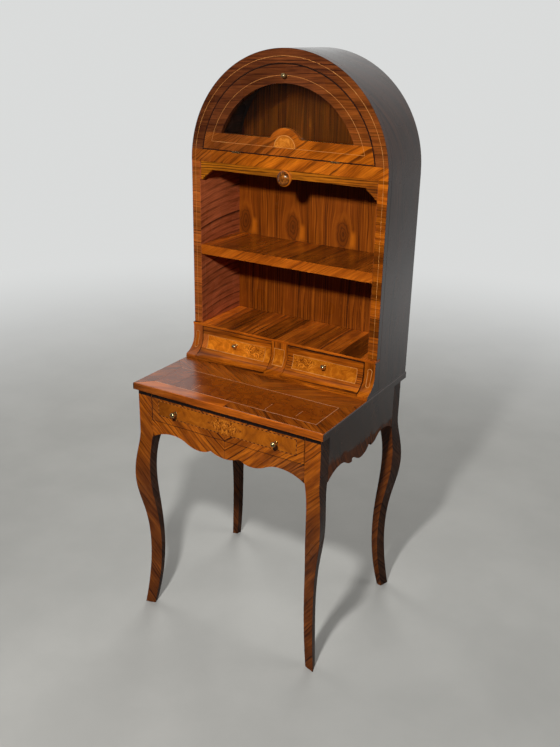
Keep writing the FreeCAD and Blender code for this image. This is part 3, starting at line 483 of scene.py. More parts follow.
def backFigure(name):
    look = backLook
    finish = newFinish(name)
    x, y, z = splitPlace(ownPlace())
    leaf = calc("WRAP", calc("SUBTRACT", x, look["joint"]), 0.0, look["leaf"])
    slow = joinPlace(times(leaf, look["slowAcross"]), 0.0, times(z, look["slowUp"]))
    sway = centred(cloud(slow, 1.0, 2.0))
    across = onto(sway, look["sway"], calc("SUBTRACT", leaf, eyeLook["across"]))
    rise = calc("SUBTRACT", z, eyeLook["high"])
    near = span(calc("ABSOLUTE", rise), 0.0, eyeLook["reachUp"], 1.0, 0.0)
    beside = span(calc("ABSOLUTE", across), 0.0, eyeLook["reachAcross"], 1.0, 0.0)
    push = times(calc("SIGN", across), times(near, beside), eyeLook["wide"])
    lines = calc("SUBTRACT", across, push)
    bandWide, bandTall = look["bands"]
    veinWide, veinTall = look["veins"]
    bands = drawnCloud(lines, bandWide, z, bandTall, 4.0, 0.6)
    veins = drawnCloud(lines, veinWide, z, veinTall)
    mixed = onto(centred(bands), look["bandShare"], look["base"])
    mixed = onto(centred(veins), look["veinShare"], mixed)
    fine = ringLines(look["fine"], z, lines, look["fineRate"], 2.0)
    mixed = onto(fine, look["fineShare"], mixed)
    backTones = woods[look["wood"]]
    colour = tones(mixed, list(zip(look["toneSpots"], backTones)))
    colour = eyeFigure(colour, across, rise, lines)
    fleckWide, fleckTall = look["flecks"]
    flecks = span(drawnCloud(x, fleckWide, z, fleckTall), *look["fleckSize"])
    colour = tint(times(flecks, span(z, *look["fleckFade"])), colour, backTones[3])
    edge = calc("MINIMUM", leaf, calc("SUBTRACT", look["leaf"], leaf))
    colour = tint(span(edge, *look["paleEdge"]), colour, backTones[3])
    colour = tint(span(edge, *look["darkEdge"]), colour, backTones[0])
    patch = cloud(ownPlace(), look["patchSize"], 2.0)
    colour = scaled(colour, overCloud(patch, *look["patchLift"]))
    start, end = [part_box("back_panel")[1].y - part for part in look["rearSkin"]]
    colour = tint(span(y, start, end), colour, grainColour(rearGrain))
    return polishedWood(finish, {**plainGrain, **look}, colour, mixed, patch)


def legFinish(name, **changes):
    # gold at the top like the rail, browner towards the foot, and painted shade on the flanks: faces turned
    # sideways take a dark copy of the wood
    look = {**plainGrain, **changes}
    finish = newFinish(name)
    place = grainPlace(look)
    upper, height, patch = streakFigure({**look, "wood": "gold"}, place)
    lower = streakFigure({**look, "wood": "rust"}, place)[0]
    shade = streakFigure({**look, "wood": "umber"}, place)[0]
    high = splitPlace(ownPlace())[2]
    colour = tint(span(high, *look["turns"]), lower, upper)
    # painted shade: the side faces, found by their normals, are darkened
    outward = put("ShaderNodeNewGeometry").outputs["Normal"]
    paintedShadeFlank = span(calc("ABSOLUTE", splitPlace(outward)[0]), *look["paintedShadeFlank"])
    look["coat"] = span(paintedShadeFlank, 0.0, 1.0, look["coat"], span(high, *look["flankCoat"]))
    return polishedWood(finish, look, tint(paintedShadeFlank, colour, shade), height, patch)


def apronFinish(name, **changes):
    # dark and glossy, browner where the scallops are cut
    look = {**plainGrain, **changes}
    finish = newFinish(name)
    place = grainPlace(look)
    colour, height, patch = streakFigure(look, place)
    brown = streakFigure({**look, "wood": "rust"}, place)[0]
    y, high = splitPlace(ownPlace())[1:]
    high = onto(y, look["brownTilt"], high)   # the brown climbs towards the front leg
    high = onto(cloud(ownPlace(), look["jogSize"], 3.0), look["jog"], high)
    low = span(high, look["brownLow"], look["brownHigh"], 1.0, 0.0)
    look["coat"] = span(low, 0.0, 1.0, look["coat"], look["brownCoat"])
    return polishedWood(finish, look, tint(low, colour, brown), height, patch)


# the cabinet's woods
lintelVeneer = veneer("lintelVeneer", wood="rust", toward=("gold", -0.38, -0.08), turn=(0, 36, 0), rings=62,
                      soft=0.5, wander=0.020, wave=7, streak=0.85, outside=cabinetOut)
railVeneer = veneer("railVeneer", wood="rust", toward=("gold", -0.18, 0.10), turn=(0, 32, 0),
                    shift=(0.4, 0, 0.3), rings=62, soft=0.45, wander=0.020, wave=7, streak=0.85)
archVeneer = veneer("archVeneer", wood="russet", toward=("rust", 0.10, 0.28), turn=(0, 2, 0), rings=95,
                    wander=0.006, wave=4, streak=0.85, outside=cabinetOut)
flapVeneer = veneer("flapVeneer", wood="russet", toward=("rust", 0.04, 0.22), turn=(0, 3, 0),
                    shift=(0.3, 0, 0.7), rings=95, wander=0.006, wave=4, streak=0.85)
stileVeneer = veneer("stileVeneer", wood="gold", rings=95, soft=0.35, wander=0.003, streak=0.75, second=0.55,
                     steps=(0.050, 0.46, 1.10, 2), inside=innerX, outside=cabinetOut)
# the left stile: its own leaf pattern, in a pinker tone that is a painted sheen
stileLeftSheen = veneer("stileLeftSheen", wood="coral", rings=95, soft=0.4, wander=0.004, streak=0.95, second=0.6,
                   steps=(0.056, 0.74, 1.06, 2), inside=innerX, outside=cabinetOut)
sideVeneer = veneer("sideVeneer", **wallGrain, outside=cabinetOut, rear=cabinetBack)
barrelVeneer = veneer("barrelVeneer", wood="umber", turn=(0, 0, -90), rings=50, coat=0.1,
                      outside=cabinetOut, rear=cabinetBack)
flatLeaf = {"wood": "amber", "soft": 0.30, "wander": 0.005, "second": 0.7, "coatRough": 0.06}
shelfVeneer = veneer("shelfVeneer", **flatLeaf, turn=(0, 0, -90), shift=(0, 0.179, 0), rings=48,
                     steps=(0.170, 0.72, 1.70, 1), endLeaf=(-0.262, -0.205, 2.1))
deckVeneer = veneer("deckVeneer", **flatLeaf, turn=(0, 0, -91), shift=(0.2, 0.512, 0), rings=52,
                    steps=(0.0665, 0.66, 2.30, 1), endLeaf=(-0.262, -0.205, 1.7))
coveVeneer = veneer("coveVeneer", wood="rust", toward=("gold", -0.36, -0.12), turn=(0, 2, 0), rings=60,
                    soft=0.35, wander=0.007, streak=1.1, cloudy=1.8, flat=True,
                    outside=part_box("base_board")[1].x, rear=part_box("base_board")[1].y)
postVeneer = veneer("postVeneer", wood="coral", toward=("gold", -0.30, -0.05), turn=(0, 90, 0), rings=90,
                    outside=cabinetOut)
backVeneer = backFigure("backVeneer")
valanceVeneer = veneer("valanceVeneer", wood="olive", toward=("amber", 0.02, 0.34), turn=(0, 1.5, 0),
                       rings=150, soft=0.46, wander=0.003, wave=7, second=0.0, streak=1.2, weak=0.70,
                       uneven=1.2)
bossWood = burl("bossWood", scale=75.0, swirl=0.03, rough=0.14, coat=1.0, coatRough=0.09, bump=0.004,
                rim=(1.279, 0.0196),   # height of its middle, and radius
                stops=((0.36, (0.050, 0.014, 0.002)), (0.50, (0.15, 0.040, 0.004)),
                       (0.64, (0.32, 0.096, 0.008))))

# the table's woods
apronVeneer = apronFinish("apronVeneer", wood="umber", turn=(0, 60, 0), rings=60, coat=1.0, coatRough=0.16,
                          brownLow=0.622, brownHigh=0.648, brownTilt=0.06, brownCoat=0.20,
                          jogSize=22.0, jog=0.05)
legGrain = {
    "turn": (0, 46, 0), "mirror": True, "rings": 90.0, "soft": 0.4, "paintedShadeFlank": (0.62, 0.80),
    "flankCoat": (0.26, 0.42, 0.03, 0.26),   # two heights, then the coat at each
}
legVeneer = legFinish("legVeneer", **legGrain, cloudy=2.0, turns=(0.36, 0.72))
# the back legs stay brown up to the top: a painted shade, as if the table shaded them
legBackShaded = legFinish("legBackShaded", **legGrain, turns=(0.70, 1.10))
frontLeaf = {"turn": (0, 40, 0), "mirror": True, "rings": 80.0, "seam": 0.7, "cloudy": 2.2, "streak": 1.05}
frontVeneer = veneer("frontVeneer", **frontLeaf, wood="rust", toward=("gold", -0.33, -0.16))
railFront = veneer("railFront", **frontLeaf, wood="gold", toward=("rust", 0.06, 0.26))
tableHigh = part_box("table_top")[1]
arris = 0.0015   # the top's end is dark from a little inside its edge
edgeVeneer = veneer("edgeVeneer", wood="rust", toward=("flame", -0.34, -0.05), turn=(0, 2, 0), rings=120,
                    streak=0.7, coat=0.45, coatRough=0.22, flat=True,
                    outside=tableHigh.x - arris, rear=tableHigh.y)
innerWood = veneer("innerWood", wood="oak", turn=(0, 0, -90), rough=0.5, coat=0.05, streak=0.35)
stainedWood = veneer("stainedWood", wood="stained", rough=0.45, coat=0.1, streak=0.35)

metalLook = {
    "patinaSize": 90.0, "patina": (0.35, 0.7), "fineSize": 900.0, "smooth": 0.7, "dull": 1.5,
    "bump": 0.08, "depth": 0.0003,
}


def metal(name, base, worn, rough):
    finish = newFinish(name)
    place = ownPlace()
    patina = cloud(place, metalLook["patinaSize"], 4.0)
    fine = cloud(place, metalLook["fineSize"], 2.0)
    colour = tint(span(patina, *metalLook["patina"]), base, worn)
    gloss = overCloud(patina, rough * metalLook["smooth"], rough * metalLook["dull"])
    feeds = {"Base Color": colour, "Metallic": 1.0, "Roughness": gloss, "Normal": dents(metalLook, fine)}
    show(put("ShaderNodeBsdfPrincipled", feeds))
    return finish


agedBrass = metal("agedBrass", (0.72, 0.54, 0.27), (0.40, 0.28, 0.12), 0.20)
plainSteel = metal("plainSteel", (0.48, 0.48, 0.49), (0.30, 0.29, 0.28), 0.35)

paneLook = {
    "colour": (0.60, 0.63, 0.64, 1.0), "shadow": (0.52, 0.54, 0.54, 1.0), "bend": 1.45, "shine": 0.06,
    "smearSize": 14.0, "smear": (0.45, 0.8, 0.0, 0.012),
}


def paneGlass(name):
    finish = newFinish(name)
    smear = cloud(ownPlace(), paneLook["smearSize"], 4.0, 0.6, 1.5)
    feeds = {
        "Base Color": paneLook["colour"], "Roughness": span(smear, *paneLook["smear"]),
        "IOR": paneLook["bend"], "Transmission Weight": 1.0, "Specular IOR Level": paneLook["shine"],
    }
    shader = put("ShaderNodeBsdfPrincipled", feeds)
    clear = put("ShaderNodeBsdfTransparent", {"Color": paneLook["shadow"]})
    shadow = put("ShaderNodeLightPath").outputs["Is Shadow Ray"]
    show(put("ShaderNodeMixShader", {0: shadow, 1: shader.outputs[0], 2: clear.outputs[0]}))
    return finish


flapPane = paneGlass("flapPane")


def both(name):
    return [name + "_right", name + "_left"]


# first coat: every node of the frame gets its wood, metal or glass
coats = {
    lintelVeneer: ["lintel"],
    railVeneer: ["flap_rail"],
    archVeneer: ["arch_frame"],
    flapVeneer: ["flap_arch", "glass_beads"],
    stileVeneer: ["stile_right"],
    stileLeftSheen: ["stile_left"],
    sideVeneer: both("cabinet_side"),
    barrelVeneer: ["arched_top", "arch_floor"],
    apronVeneer: both("side_apron"),
    legVeneer: both("leg_front"),
    legBackShaded: both("leg_back"),
    frontVeneer: ["table_drawer_front"],
    railFront: ["front_rail"],
    shelfVeneer: ["middle_shelf"],
    deckVeneer: ["deck"],
    coveVeneer: ["base_drawer_right_front", "base_drawer_left_front", "base_board"],
    postVeneer: [*both("end_post"), "centre_post"],
    backVeneer: ["back_panel"],
    edgeVeneer: ["table_top"],
    valanceVeneer: ["valance"],
    bossWood: ["valance_boss"],
    stainedWood: ["back_apron", "flap_stop"],
    innerWood: [
        "drawer_runners", "glue_blocks", "base_divider", "base_drawer_guides",
        "table_drawer_bottom", "table_drawer_sides", "table_drawer_back",
        "base_drawer_right_sides", "base_drawer_right_back", "base_drawer_right_bottom",
        "base_drawer_left_sides", "base_drawer_left_back", "base_drawer_left_bottom",
    ],
    agedBrass: [
        "table_drawer_knobs", "base_drawer_right_knob", "base_drawer_left_knob", "flap_knob",
        "hinge_flap_leaves", "hinge_frame_leaves", "hinge_pins",
    ],
    plainSteel: ["cabinet_screws", "catch_magnet", "catch_strike", "hinge_flap_screws", "hinge_frame_screws"],
    flapPane: ["flap_glass"],
}
for coat, nodes in coats.items():
    for node in nodes:
        held = cadNodes[node].data.materials
        held.clear()
        held.append(coat)
print("finishes on", sum(len(nodes) for nodes in coats.values()), "nodes")

# sharp arrises are eased a little, as a hand with sandpaper does
eased = {
    0.0008: [
        "arch_frame", "flap_arch", "flap_rail", "lintel", "valance", *both("stile"), "middle_shelf", "deck",
        "front_rail", "table_drawer_front", *both("side_apron"), *both("end_post"), "centre_post",
        "base_board", "base_drawer_right_front", "base_drawer_left_front", *both("leg_front"),
        *both("leg_back"),
    ],
    0.0012: ["arched_top", *both("cabinet_side"), "back_apron"],
}
easing = {"merge": 0.00001, "cuts": 2, "sharp": 38.0}   # edges over so many degrees are cut


def ease(node, width):
    item = cadNodes[node]
    item.modifiers.new("weld", "WELD").merge_threshold = easing["merge"]
    cut = item.modifiers.new("ease", "BEVEL")
    cut.width = width
    cut.segments = easing["cuts"]
    cut.limit_method = "ANGLE"
    cut.angle_limit = math.radians(easing["sharp"])
    item.modifiers.new("normals", "WEIGHTED_NORMAL").keep_sharp = True


for width, nodes in eased.items():
    for node in nodes:
        ease(node, width)
print("edges eased")


# inlay: thin strings and sheets of wood let into the veneer, a hair proud of it
proud = {"sheet": 0.00012, "string": 0.00018, "upper": 0.00022, "ring": 0.00024}
sink = 0.0004
steepest = 0.3   # a mitre sharper than this is cut short
coveShape = {"face": 0.033, "high": 0.790, "radius": 0.0500125}   # the hollow of the base's front


def frontFace(level):
    return lambda a, b, lift: Vector((a, level - lift, b))


def topFace(level):
    return lambda a, b, lift: Vector((a, b, level + lift))


def coveFace(a, b, lift):
    drop = max(coveShape["high"] - b, 0.0)
    radius = coveShape["radius"]
    centre = coveShape["face"] - radius
    y = centre + math.sqrt(radius ** 2 - drop ** 2)
    outward = Vector((0.0, (centre - y) / radius, drop / radius))
    return Vector((a, y, b)) + outward * lift


def evenly(start, end, steps):
    return [start + (end - start) * step / steps for step in range(steps + 1)]


def oblong(left, right, low, high):
    return [(left, low), (right, low), (right, high), (left, high)]


def bowLine(radius, start, end, count, middle=(0.0, 0.0)):
    points = []
    for degrees in evenly(start, end, count):
        angle = math.radians(degrees)
        points.append((middle[0] + radius * math.cos(angle), middle[1] + radius * math.sin(angle)))
    return points


def layRows(form, rows, closed, finish):
    # skin between neighbouring rows of four places, with caps where the run isn't closed
    rows = [[form.verts.new(place) for place in row] for row in rows]
    nextRows = rows[1:] + rows[:1] if closed else rows[1:]
    for first, second in zip(rows, nextRows):
        for edge in range(4):
            corner = (edge + 1) % 4
            side = (first[edge], first[corner], second[corner], second[edge])
            form.faces.new(side).material_index = finish
    if not closed:
        form.faces.new(rows[0]).material_index = finish
        form.faces.new(rows[-1]).material_index = finish


def layString(form, path, width, face, closed=False, finish=0, lift=proud["string"]):
    count = len(path)
    rows = []
    for step in range(count):
        here = Vector(path[step])
        before = Vector(path[step - 1]) if step or closed else None
        after = Vector(path[(step + 1) % count]) if step < count - 1 or closed else None
        come = (here - before).normalized() if before else (after - here).normalized()
        leave = (after - here).normalized() if after else come
        side = Vector((-(come + leave).y, (come + leave).x)).normalized()
        reach = width / 2 / max(side.dot(Vector((-come.y, come.x))), steepest)
        left = here + side * reach
        right = here - side * reach
        rows.append([face(*left, lift), face(*right, lift), face(*right, -sink), face(*left, -sink)])
    layRows(form, rows, closed, finish)


def laySheet(form, outline, face, finish=0, lift=proud["sheet"]):
    high = [form.verts.new(face(a, b, lift)) for a, b in outline]
    low = [form.verts.new(face(a, b, -sink)) for a, b in outline]
    form.faces.new(high).material_index = finish
    form.faces.new(low).material_index = finish
    for step in range(len(outline)):
        after = (step + 1) % len(outline)
        form.faces.new((high[step], high[after], low[after], low[step])).material_index = finish


def layBent(form, left, right, levels, face, finish=0):
    # a sheet that follows the hollow from its lower to its upper edge
    lift = proud["sheet"]
    rows = [[face(left, b, lift), face(right, b, lift), face(right, b, -sink), face(left, b, -sink)]
            for b in levels]
    layRows(form, rows, False, finish)


def layPiece(form, name, body, *finishes):
    bmesh.ops.recalc_face_normals(form, faces=form.faces)
    mesh = bpy.data.meshes.new(name)
    form.to_mesh(mesh)
    form.free()
    for finish in finishes:
        mesh.materials.append(finish)
    piece = bpy.data.objects.new(name, mesh)
    bpy.context.scene.collection.objects.link(piece)
    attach(piece, body)


stringLook = {"rough": 0.30, "coat": 0.35, "fleckSize": 60.0, "fibreSize": 900.0, "fibreLift": (0.9, 1.08)}


def stringWood(name, pale, deep):
    finish = newFinish(name)
    place = ownPlace()
    fleck = cloud(place, stringLook["fleckSize"], 3.0)
    fibre = cloud(place, stringLook["fibreSize"], 2.0)
    colour = tint(overCloud(fleck), pale, deep)
    colour = scaled(colour, overCloud(fibre, *stringLook["fibreLift"]))
    return polishedWood(finish, {**plainGrain, **stringLook}, colour, fibre, fleck)


paleString = stringWood("paleString", (0.58, 0.26, 0.070), (0.44, 0.16, 0.035))
topString = stringWood("topString", (0.60, 0.33, 0.19), (0.46, 0.22, 0.11))
# a string toned down to the field's colour: painted to look washed out by a sheen
sheenHiddenString = stringWood("sheenHiddenString", (0.24, 0.075, 0.020), (0.18, 0.050, 0.012))
# dark string wood: real dark joints, and also the painted shade lines in gaps and under the top
darkStringAndShade = stringWood("darkStringAndShade", (0.014, 0.007, 0.005), (0.008, 0.005, 0.004))

# table top: a quiet burl field, a string round it, and bands that meet in mitres
topLook = {
    "fieldX": 0.256, "fieldFront": -0.209, "fieldBack": -0.087,
    "edgeX": 0.2972, "edgeFront": -0.2472, "edgeBack": -0.0085,
    "string": 0.0012, "mitre": 0.0008, "leafJoint": 0.0008,
    "arrisHighlight": 0.0009, "arrisHighlightInset": 0.0006, "arrisHighlightStart": 0.004, "arrisHighlightEnd": 0.001,
    "leafJoints": (   # start and end of each, then 0 for pale or 1 for dark
        (0.1005, -0.203, 0.0985, -0.162, 0), (0.188, -0.192, 0.188, -0.156, 0),
        (-0.132, -0.208, -0.133, -0.163, 0), (-0.195, -0.206, -0.193, -0.110, 1),
    ),
}
topGloss = {"coat": 1.0, "coatRough": 0.25, "rough": 0.2}
fieldBurl = burl("fieldBurl", scale=30.0, swirl=0.012, **topGloss, stops=(
    (0.26, (0.105, 0.020, 0.002)), (0.48, (0.165, 0.033, 0.002)), (0.72, (0.235, 0.052, 0.003))))
topBand = veneer("topBand", wood="amber", turn=(0, 0, 38), rings=70, **topGloss)
topBandLeft = veneer("topBandLeft", wood="flame", turn=(0, 0, -12), rings=60, streak=0.25, second=0.2,
                     **topGloss)
topBandBack = veneer("topBandBack", wood="amber", turn=(0, 0, -30), shift=(0.3, 0.2, 0), mirror=True,
                     rings=60, **topGloss)
topBandEnd = veneer("topBandEnd", wood="amber", turn=(0, 0, 40), shift=(0.1, 0.8, 0), mirror=True,
                    rings=70, **topGloss)


def layTop():
    x, front, back = topLook["fieldX"], topLook["fieldFront"], topLook["fieldBack"]
    outX, outFront, outBack = topLook["edgeX"], topLook["edgeFront"], topLook["edgeBack"]
    cut = back + (outX - x)   # where the back mitre meets the side edge
    face = topFace(topZ)
    field = oblong(-x, x, front, back)
    form = bmesh.new()
    laySheet(form, field, face, 0)
    laySheet(form, [(0.0, outFront), (outX, outFront), (x, front), (0.0, front)], face, 1)
    laySheet(form, [(-outX, outFront), (0.0, outFront), (0.0, front), (-x, front)], face, 4)
    backBand = [(-x, back), (x, back), (outX, cut), (outX, outBack), (-outX, outBack), (-outX, cut)]
    laySheet(form, backBand, face, 2)
    for side in (1, -1):
        endBand = [(side * x, front), (side * outX, outFront), (side * outX, cut), (side * x, back)]
        laySheet(form, endBand, face, 3)
    layPiece(form, "topVeneers", "carcase", fieldBurl, topBand, topBandBack, topBandEnd, topBandLeft)
    form = bmesh.new()
    layString(form, field, topLook["string"], face)   # three sides, and the left end in a string toned to the field, painted to look hidden under a sheen
    layString(form, [(-x, back), (-x, front)], topLook["string"], face, finish=2)
    for side in (1, -1):
        layString(form, [(side * x, front), (side * outX, outFront)], topLook["mitre"], face, finish=1)
        layString(form, [(side * x, back), (side * outX, cut)], topLook["mitre"], face, finish=1)
    layString(form, [(0.0, outFront), (0.0, front)], topLook["mitre"], face, finish=1)
    # painted highlight: a pale line along the front arris from the middle to the right end, where the edge
    # catches the light
    level = outFront + topLook["arrisHighlightInset"]
    edge = [(topLook["arrisHighlightStart"], level), (outX - topLook["arrisHighlightEnd"], level)]
    layString(form, edge, topLook["arrisHighlight"], face)
    for startX, startY, endX, endY, tone in topLook["leafJoints"]:
        layString(form, [(startX, startY), (endX, endY)], topLook["leafJoint"], face, finish=tone)
    layPiece(form, "topStringsAndArrisHighlight", "carcase", topString, darkStringAndShade, sheenHiddenString)


# table drawer: golden panel in a chequered string, curly lozenge in the middle
frontLook = {
    "panelX": 0.219, "low": 0.647, "high": 0.691, "lozengeX": 0.056, "lozengeZ": 0.029,
    "chequer": 0.0026, "dash": 0.0060, "chequerGap": 0.003,
    # the band and leg sizes place a painted shadow: a dark sheet under the top
    "edge": 0.0011, "shadowBandLow": 0.6965, "shadowBandInset": 0.0004, "shadowBandTop": 0.0003,
    "legShadowX": (0.2445, 0.2885), "legShadowTop": 0.0004,
}
chequerLight = stringWood("chequerLight", (0.40, 0.125, 0.014), (0.30, 0.085, 0.008))
chequerDark = stringWood("chequerDark", (0.085, 0.018, 0.004), (0.050, 0.012, 0.003))
goldBurl = burl("goldBurl", scale=22.0, swirl=0.020, lift=(-0.23, -0.11, 0.66, 1.0), stops=(
    (0.28, (0.20, 0.045, 0.003)), (0.50, (0.34, 0.086, 0.004)), (0.70, (0.48, 0.132, 0.007))))
curlBurl = burl("curlBurl", scale=46.0, swirl=0.035, mirror=True, knotScale=70.0,
                knots=(((0.014, -0.241, 0.668), 0.040, 0.026),),
                stops=((0.34, (0.12, 0.028, 0.004)), (0.48, (0.27, 0.064, 0.005)),
                       (0.62, (0.44, 0.120, 0.010))))


def dashes(form, start, end, face):
    # short light and dark blocks laid end to end
    run = Vector(end) - Vector(start)
    count = max(int(run.length / frontLook["dash"]) | 1, 3)
    for step in range(count):
        first = Vector(start) + run * (step / count)
        second = Vector(start) + run * ((step + 1) / count)
        layString(form, [tuple(first), tuple(second)], frontLook["chequer"], face, finish=step % 2)


def layDrawerFront():
    x, low, high = frontLook["panelX"], frontLook["low"], frontLook["high"]
    face = frontFace(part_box("table_drawer_front")[0].y)
    middle = (low + high) / 2
    form = bmesh.new()
    laySheet(form, oblong(-x, x, low, high), face, 0)
    wide, tall = frontLook["lozengeX"], frontLook["lozengeZ"]
    lozenge = [(-wide, middle), (0.0, middle - tall), (wide, middle), (0.0, middle + tall)]
    laySheet(form, lozenge, face, 1, lift=proud["upper"])
    layPiece(form, "drawerPanel", "table_drawer", goldBurl, curlBurl)
    form = bmesh.new()
    gap = wide * (1 - (middle - low) / tall) + frontLook["chequerGap"]   # the string stops at the lozenge
    for level in (low, high):
        dashes(form, (-x, level), (-gap, level), face)
        dashes(form, (gap, level), (x, level), face)
    for end in (-x, x):
        dashes(form, (end, low), (end, high), face)
    layPiece(form, "drawerChequer", "table_drawer", chequerDark, chequerLight)


def layDrawerEdgesAndShadowBands():
    # dark edging round the front, and a dark band under the top that runs on over the legs: the band is a
    # painted shadow of the top's overhang
    boxLow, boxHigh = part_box("table_drawer_front")
    face = frontFace(boxLow.y)
    edge, shadowBandLow, inset = frontLook["edge"], frontLook["shadowBandLow"], frontLook["shadowBandInset"]
    left, right, foot = boxLow.x + edge, boxHigh.x - edge, boxLow.z + edge
    form = bmesh.new()
    layString(form, [(left, shadowBandLow), (left, foot), (right, foot), (right, shadowBandLow)], edge, face)
    # painted shadow: a dark sheet where the top's overhang casts its shade
    band = oblong(boxLow.x + inset, boxHigh.x - inset, shadowBandLow, boxHigh.z - frontLook["shadowBandTop"])
    laySheet(form, band, face)
    layPiece(form, "drawerEdgesAndShadowBand", "table_drawer", darkStringAndShade)
    nearX, farX = frontLook["legShadowX"]
    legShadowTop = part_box("leg_front_right")[1].z - frontLook["legShadowTop"]
    face = frontFace(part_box("front_rail")[0].y)
    form = bmesh.new()
    # the same painted shadow on the tops of the front legs
    for side in (1, -1):
        laySheet(form, oblong(side * nearX, side * farX, shadowBandLow, legShadowTop), face)
    layPiece(form, "legShadowBands", "carcase", darkStringAndShade)


# cabinet front: one string up each stile, over the arch and down again; strings on the flap, and dark edging
# round it that is painted shade of the gap round the flap
archLook = {
    "stringX": 0.2860, "archRise": 0.2800, "string": 0.0008, "stringFoot": 0.003,
    "flapRadius": 0.2375, "flapRise": 0.2340, "flapLine": 1.357,
    "medallion": 0.0315, "ring": 0.0012, "gapShadeRadius": 0.2620, "gapShadeFoot": 1.3350, "edge": 0.0024,
    "archSteps": 72, "flapSteps": 64, "discSteps": 28,
}
medallionBurl = burl("medallionBurl", scale=60.0, swirl=0.03, stops=(
    (0.30, (0.26, 0.066, 0.007)), (0.50, (0.46, 0.135, 0.012)), (0.66, (0.62, 0.210, 0.024))))


def layArch():
    face = frontFace(frontY)
    x, string, steps = archLook["stringX"], archLook["string"], archLook["archSteps"]
    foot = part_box("stile_right")[0].z + archLook["stringFoot"]
    over = [(a, archSpring + b * archLook["archRise"] / x) for a, b in bowLine(x, 0.0, 180.0, steps)]
    form = bmesh.new()
    layString(form, [(x, foot), *over, (-x, foot)], string, face)
    layPiece(form, "archString", "carcase", paleString)
    radius, rise, line = archLook["flapRadius"], archLook["flapRise"], archLook["flapLine"]
    start = math.degrees(math.asin((line - archSpring) / rise))
    bow = bowLine(radius, start, 180.0 - start, archLook["flapSteps"])
    form = bmesh.new()
    layString(form, [(a, archSpring + b * rise / radius) for a, b in bow], string, face, True)
    # painted shade: a dark ring round the flap's edge stands for the shadow in the gap between flap and frame
    rim = archLook["gapShadeRadius"]
    start = math.degrees(math.asin((archLook["gapShadeFoot"] - archSpring) / rim))
    bow = bowLine(rim, start, 180.0 - start, steps, (0.0, archSpring))
    layString(form, bow, archLook["edge"], face, True, 2)
    disc = bowLine(archLook["medallion"], 0.0, 180.0, archLook["discSteps"], (0.0, line))
    laySheet(form, disc, face, 1)
    layString(form, disc, archLook["ring"], face, lift=proud["ring"])
    layPiece(form, "flapInlayAndGapShade", "flap", paleString, medallionBurl, darkStringAndShade)


# front edges of the middle shelf and of the ledge over the drawers
edgeLook = {"shelfX": 0.2708, "ledgeX": 0.2985, "inset": 0.0004}
shelfEdge = veneer("shelfEdge", wood="flame", turn=(0, 34, 0), shift=(0.7, 0, 0.1), rings=60, soft=0.5,
                   streak=0.8)
ledgeEdge = veneer("ledgeEdge", wood="flame", turn=(0, 1, 0), rings=150, streak=0.4)


def layEdges():
    inset = edgeLook["inset"]
    for node, name, reach, finish in (
        ("middle_shelf", "shelfFace", edgeLook["shelfX"], shelfEdge),
        ("deck", "ledgeFace", edgeLook["ledgeX"], ledgeEdge),
    ):
        low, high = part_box(node)
        form = bmesh.new()
        laySheet(form, oblong(-reach, reach, low.z + inset, high.z - inset), frontFace(low.y))
        layPiece(form, name, "carcase", finish)


# base: burl panels on the two drawers, strings on the posts
baseLook = {
    "inner": 0.047, "outer": 0.246, "low": 0.7585, "high": 0.7975, "string": 0.0013, "rows": 8,
    "barGap": 0.001, "edge": 0.0016, "gapShadeOffset": 0.0008, "gapShadeTop": 0.0007, "gapShadeFoot": 0.006, "gapShadeRows": 12,
    "topGapShadeInset": 0.0002,
}
baseDrawers = {   # crown: dark line along the top, a painted shadow of the gap under the ledge; bars: woods beside the panel, 0 burl, 1 barred, 2 plain
    "base_drawer_right": {"side": 1, "topGapShade": 0.0030, "bars": (1, 1)},
    "base_drawer_left": {"side": -1, "topGapShade": 0.0014, "bars": (0, 2)},
}
postLook = {
    "half": 0.0165, "low": 0.757, "high": 0.803, "loopX": 0.2835, "loopHalf": 0.0052, "loopLow": 0.761,
    "loopHigh": 0.798, "loopString": 0.0015, "loopSwell": 1.25, "underSteps": 12, "overSteps": 16,
}
drawerBurl = burl("drawerBurl", scale=40.0, swirl=0.02, mirror=True, lift=(-0.22, 0.05, 1.42, 0.95),
                  knots=(((0.086, 0.03, 0.779), 0.040, 0.019),),
                  stops=((0.30, (0.26, 0.058, 0.003)), (0.48, (0.40, 0.104, 0.005)),
                         (0.66, (0.56, 0.172, 0.010))))
barVeneer = veneer("barVeneer", wood="gold", rings=115, soft=0.40, wander=0.002, weak=0.7, streak=1.3,
                   uneven=1.5)
plainBar = veneer("plainBar", wood="coral", turn=(0, 80, 0), rings=60, streak=0.5)
loopVeneer = veneer("loopVeneer", wood="flame", turn=(0, 90, 0), rings=120, streak=0.5)


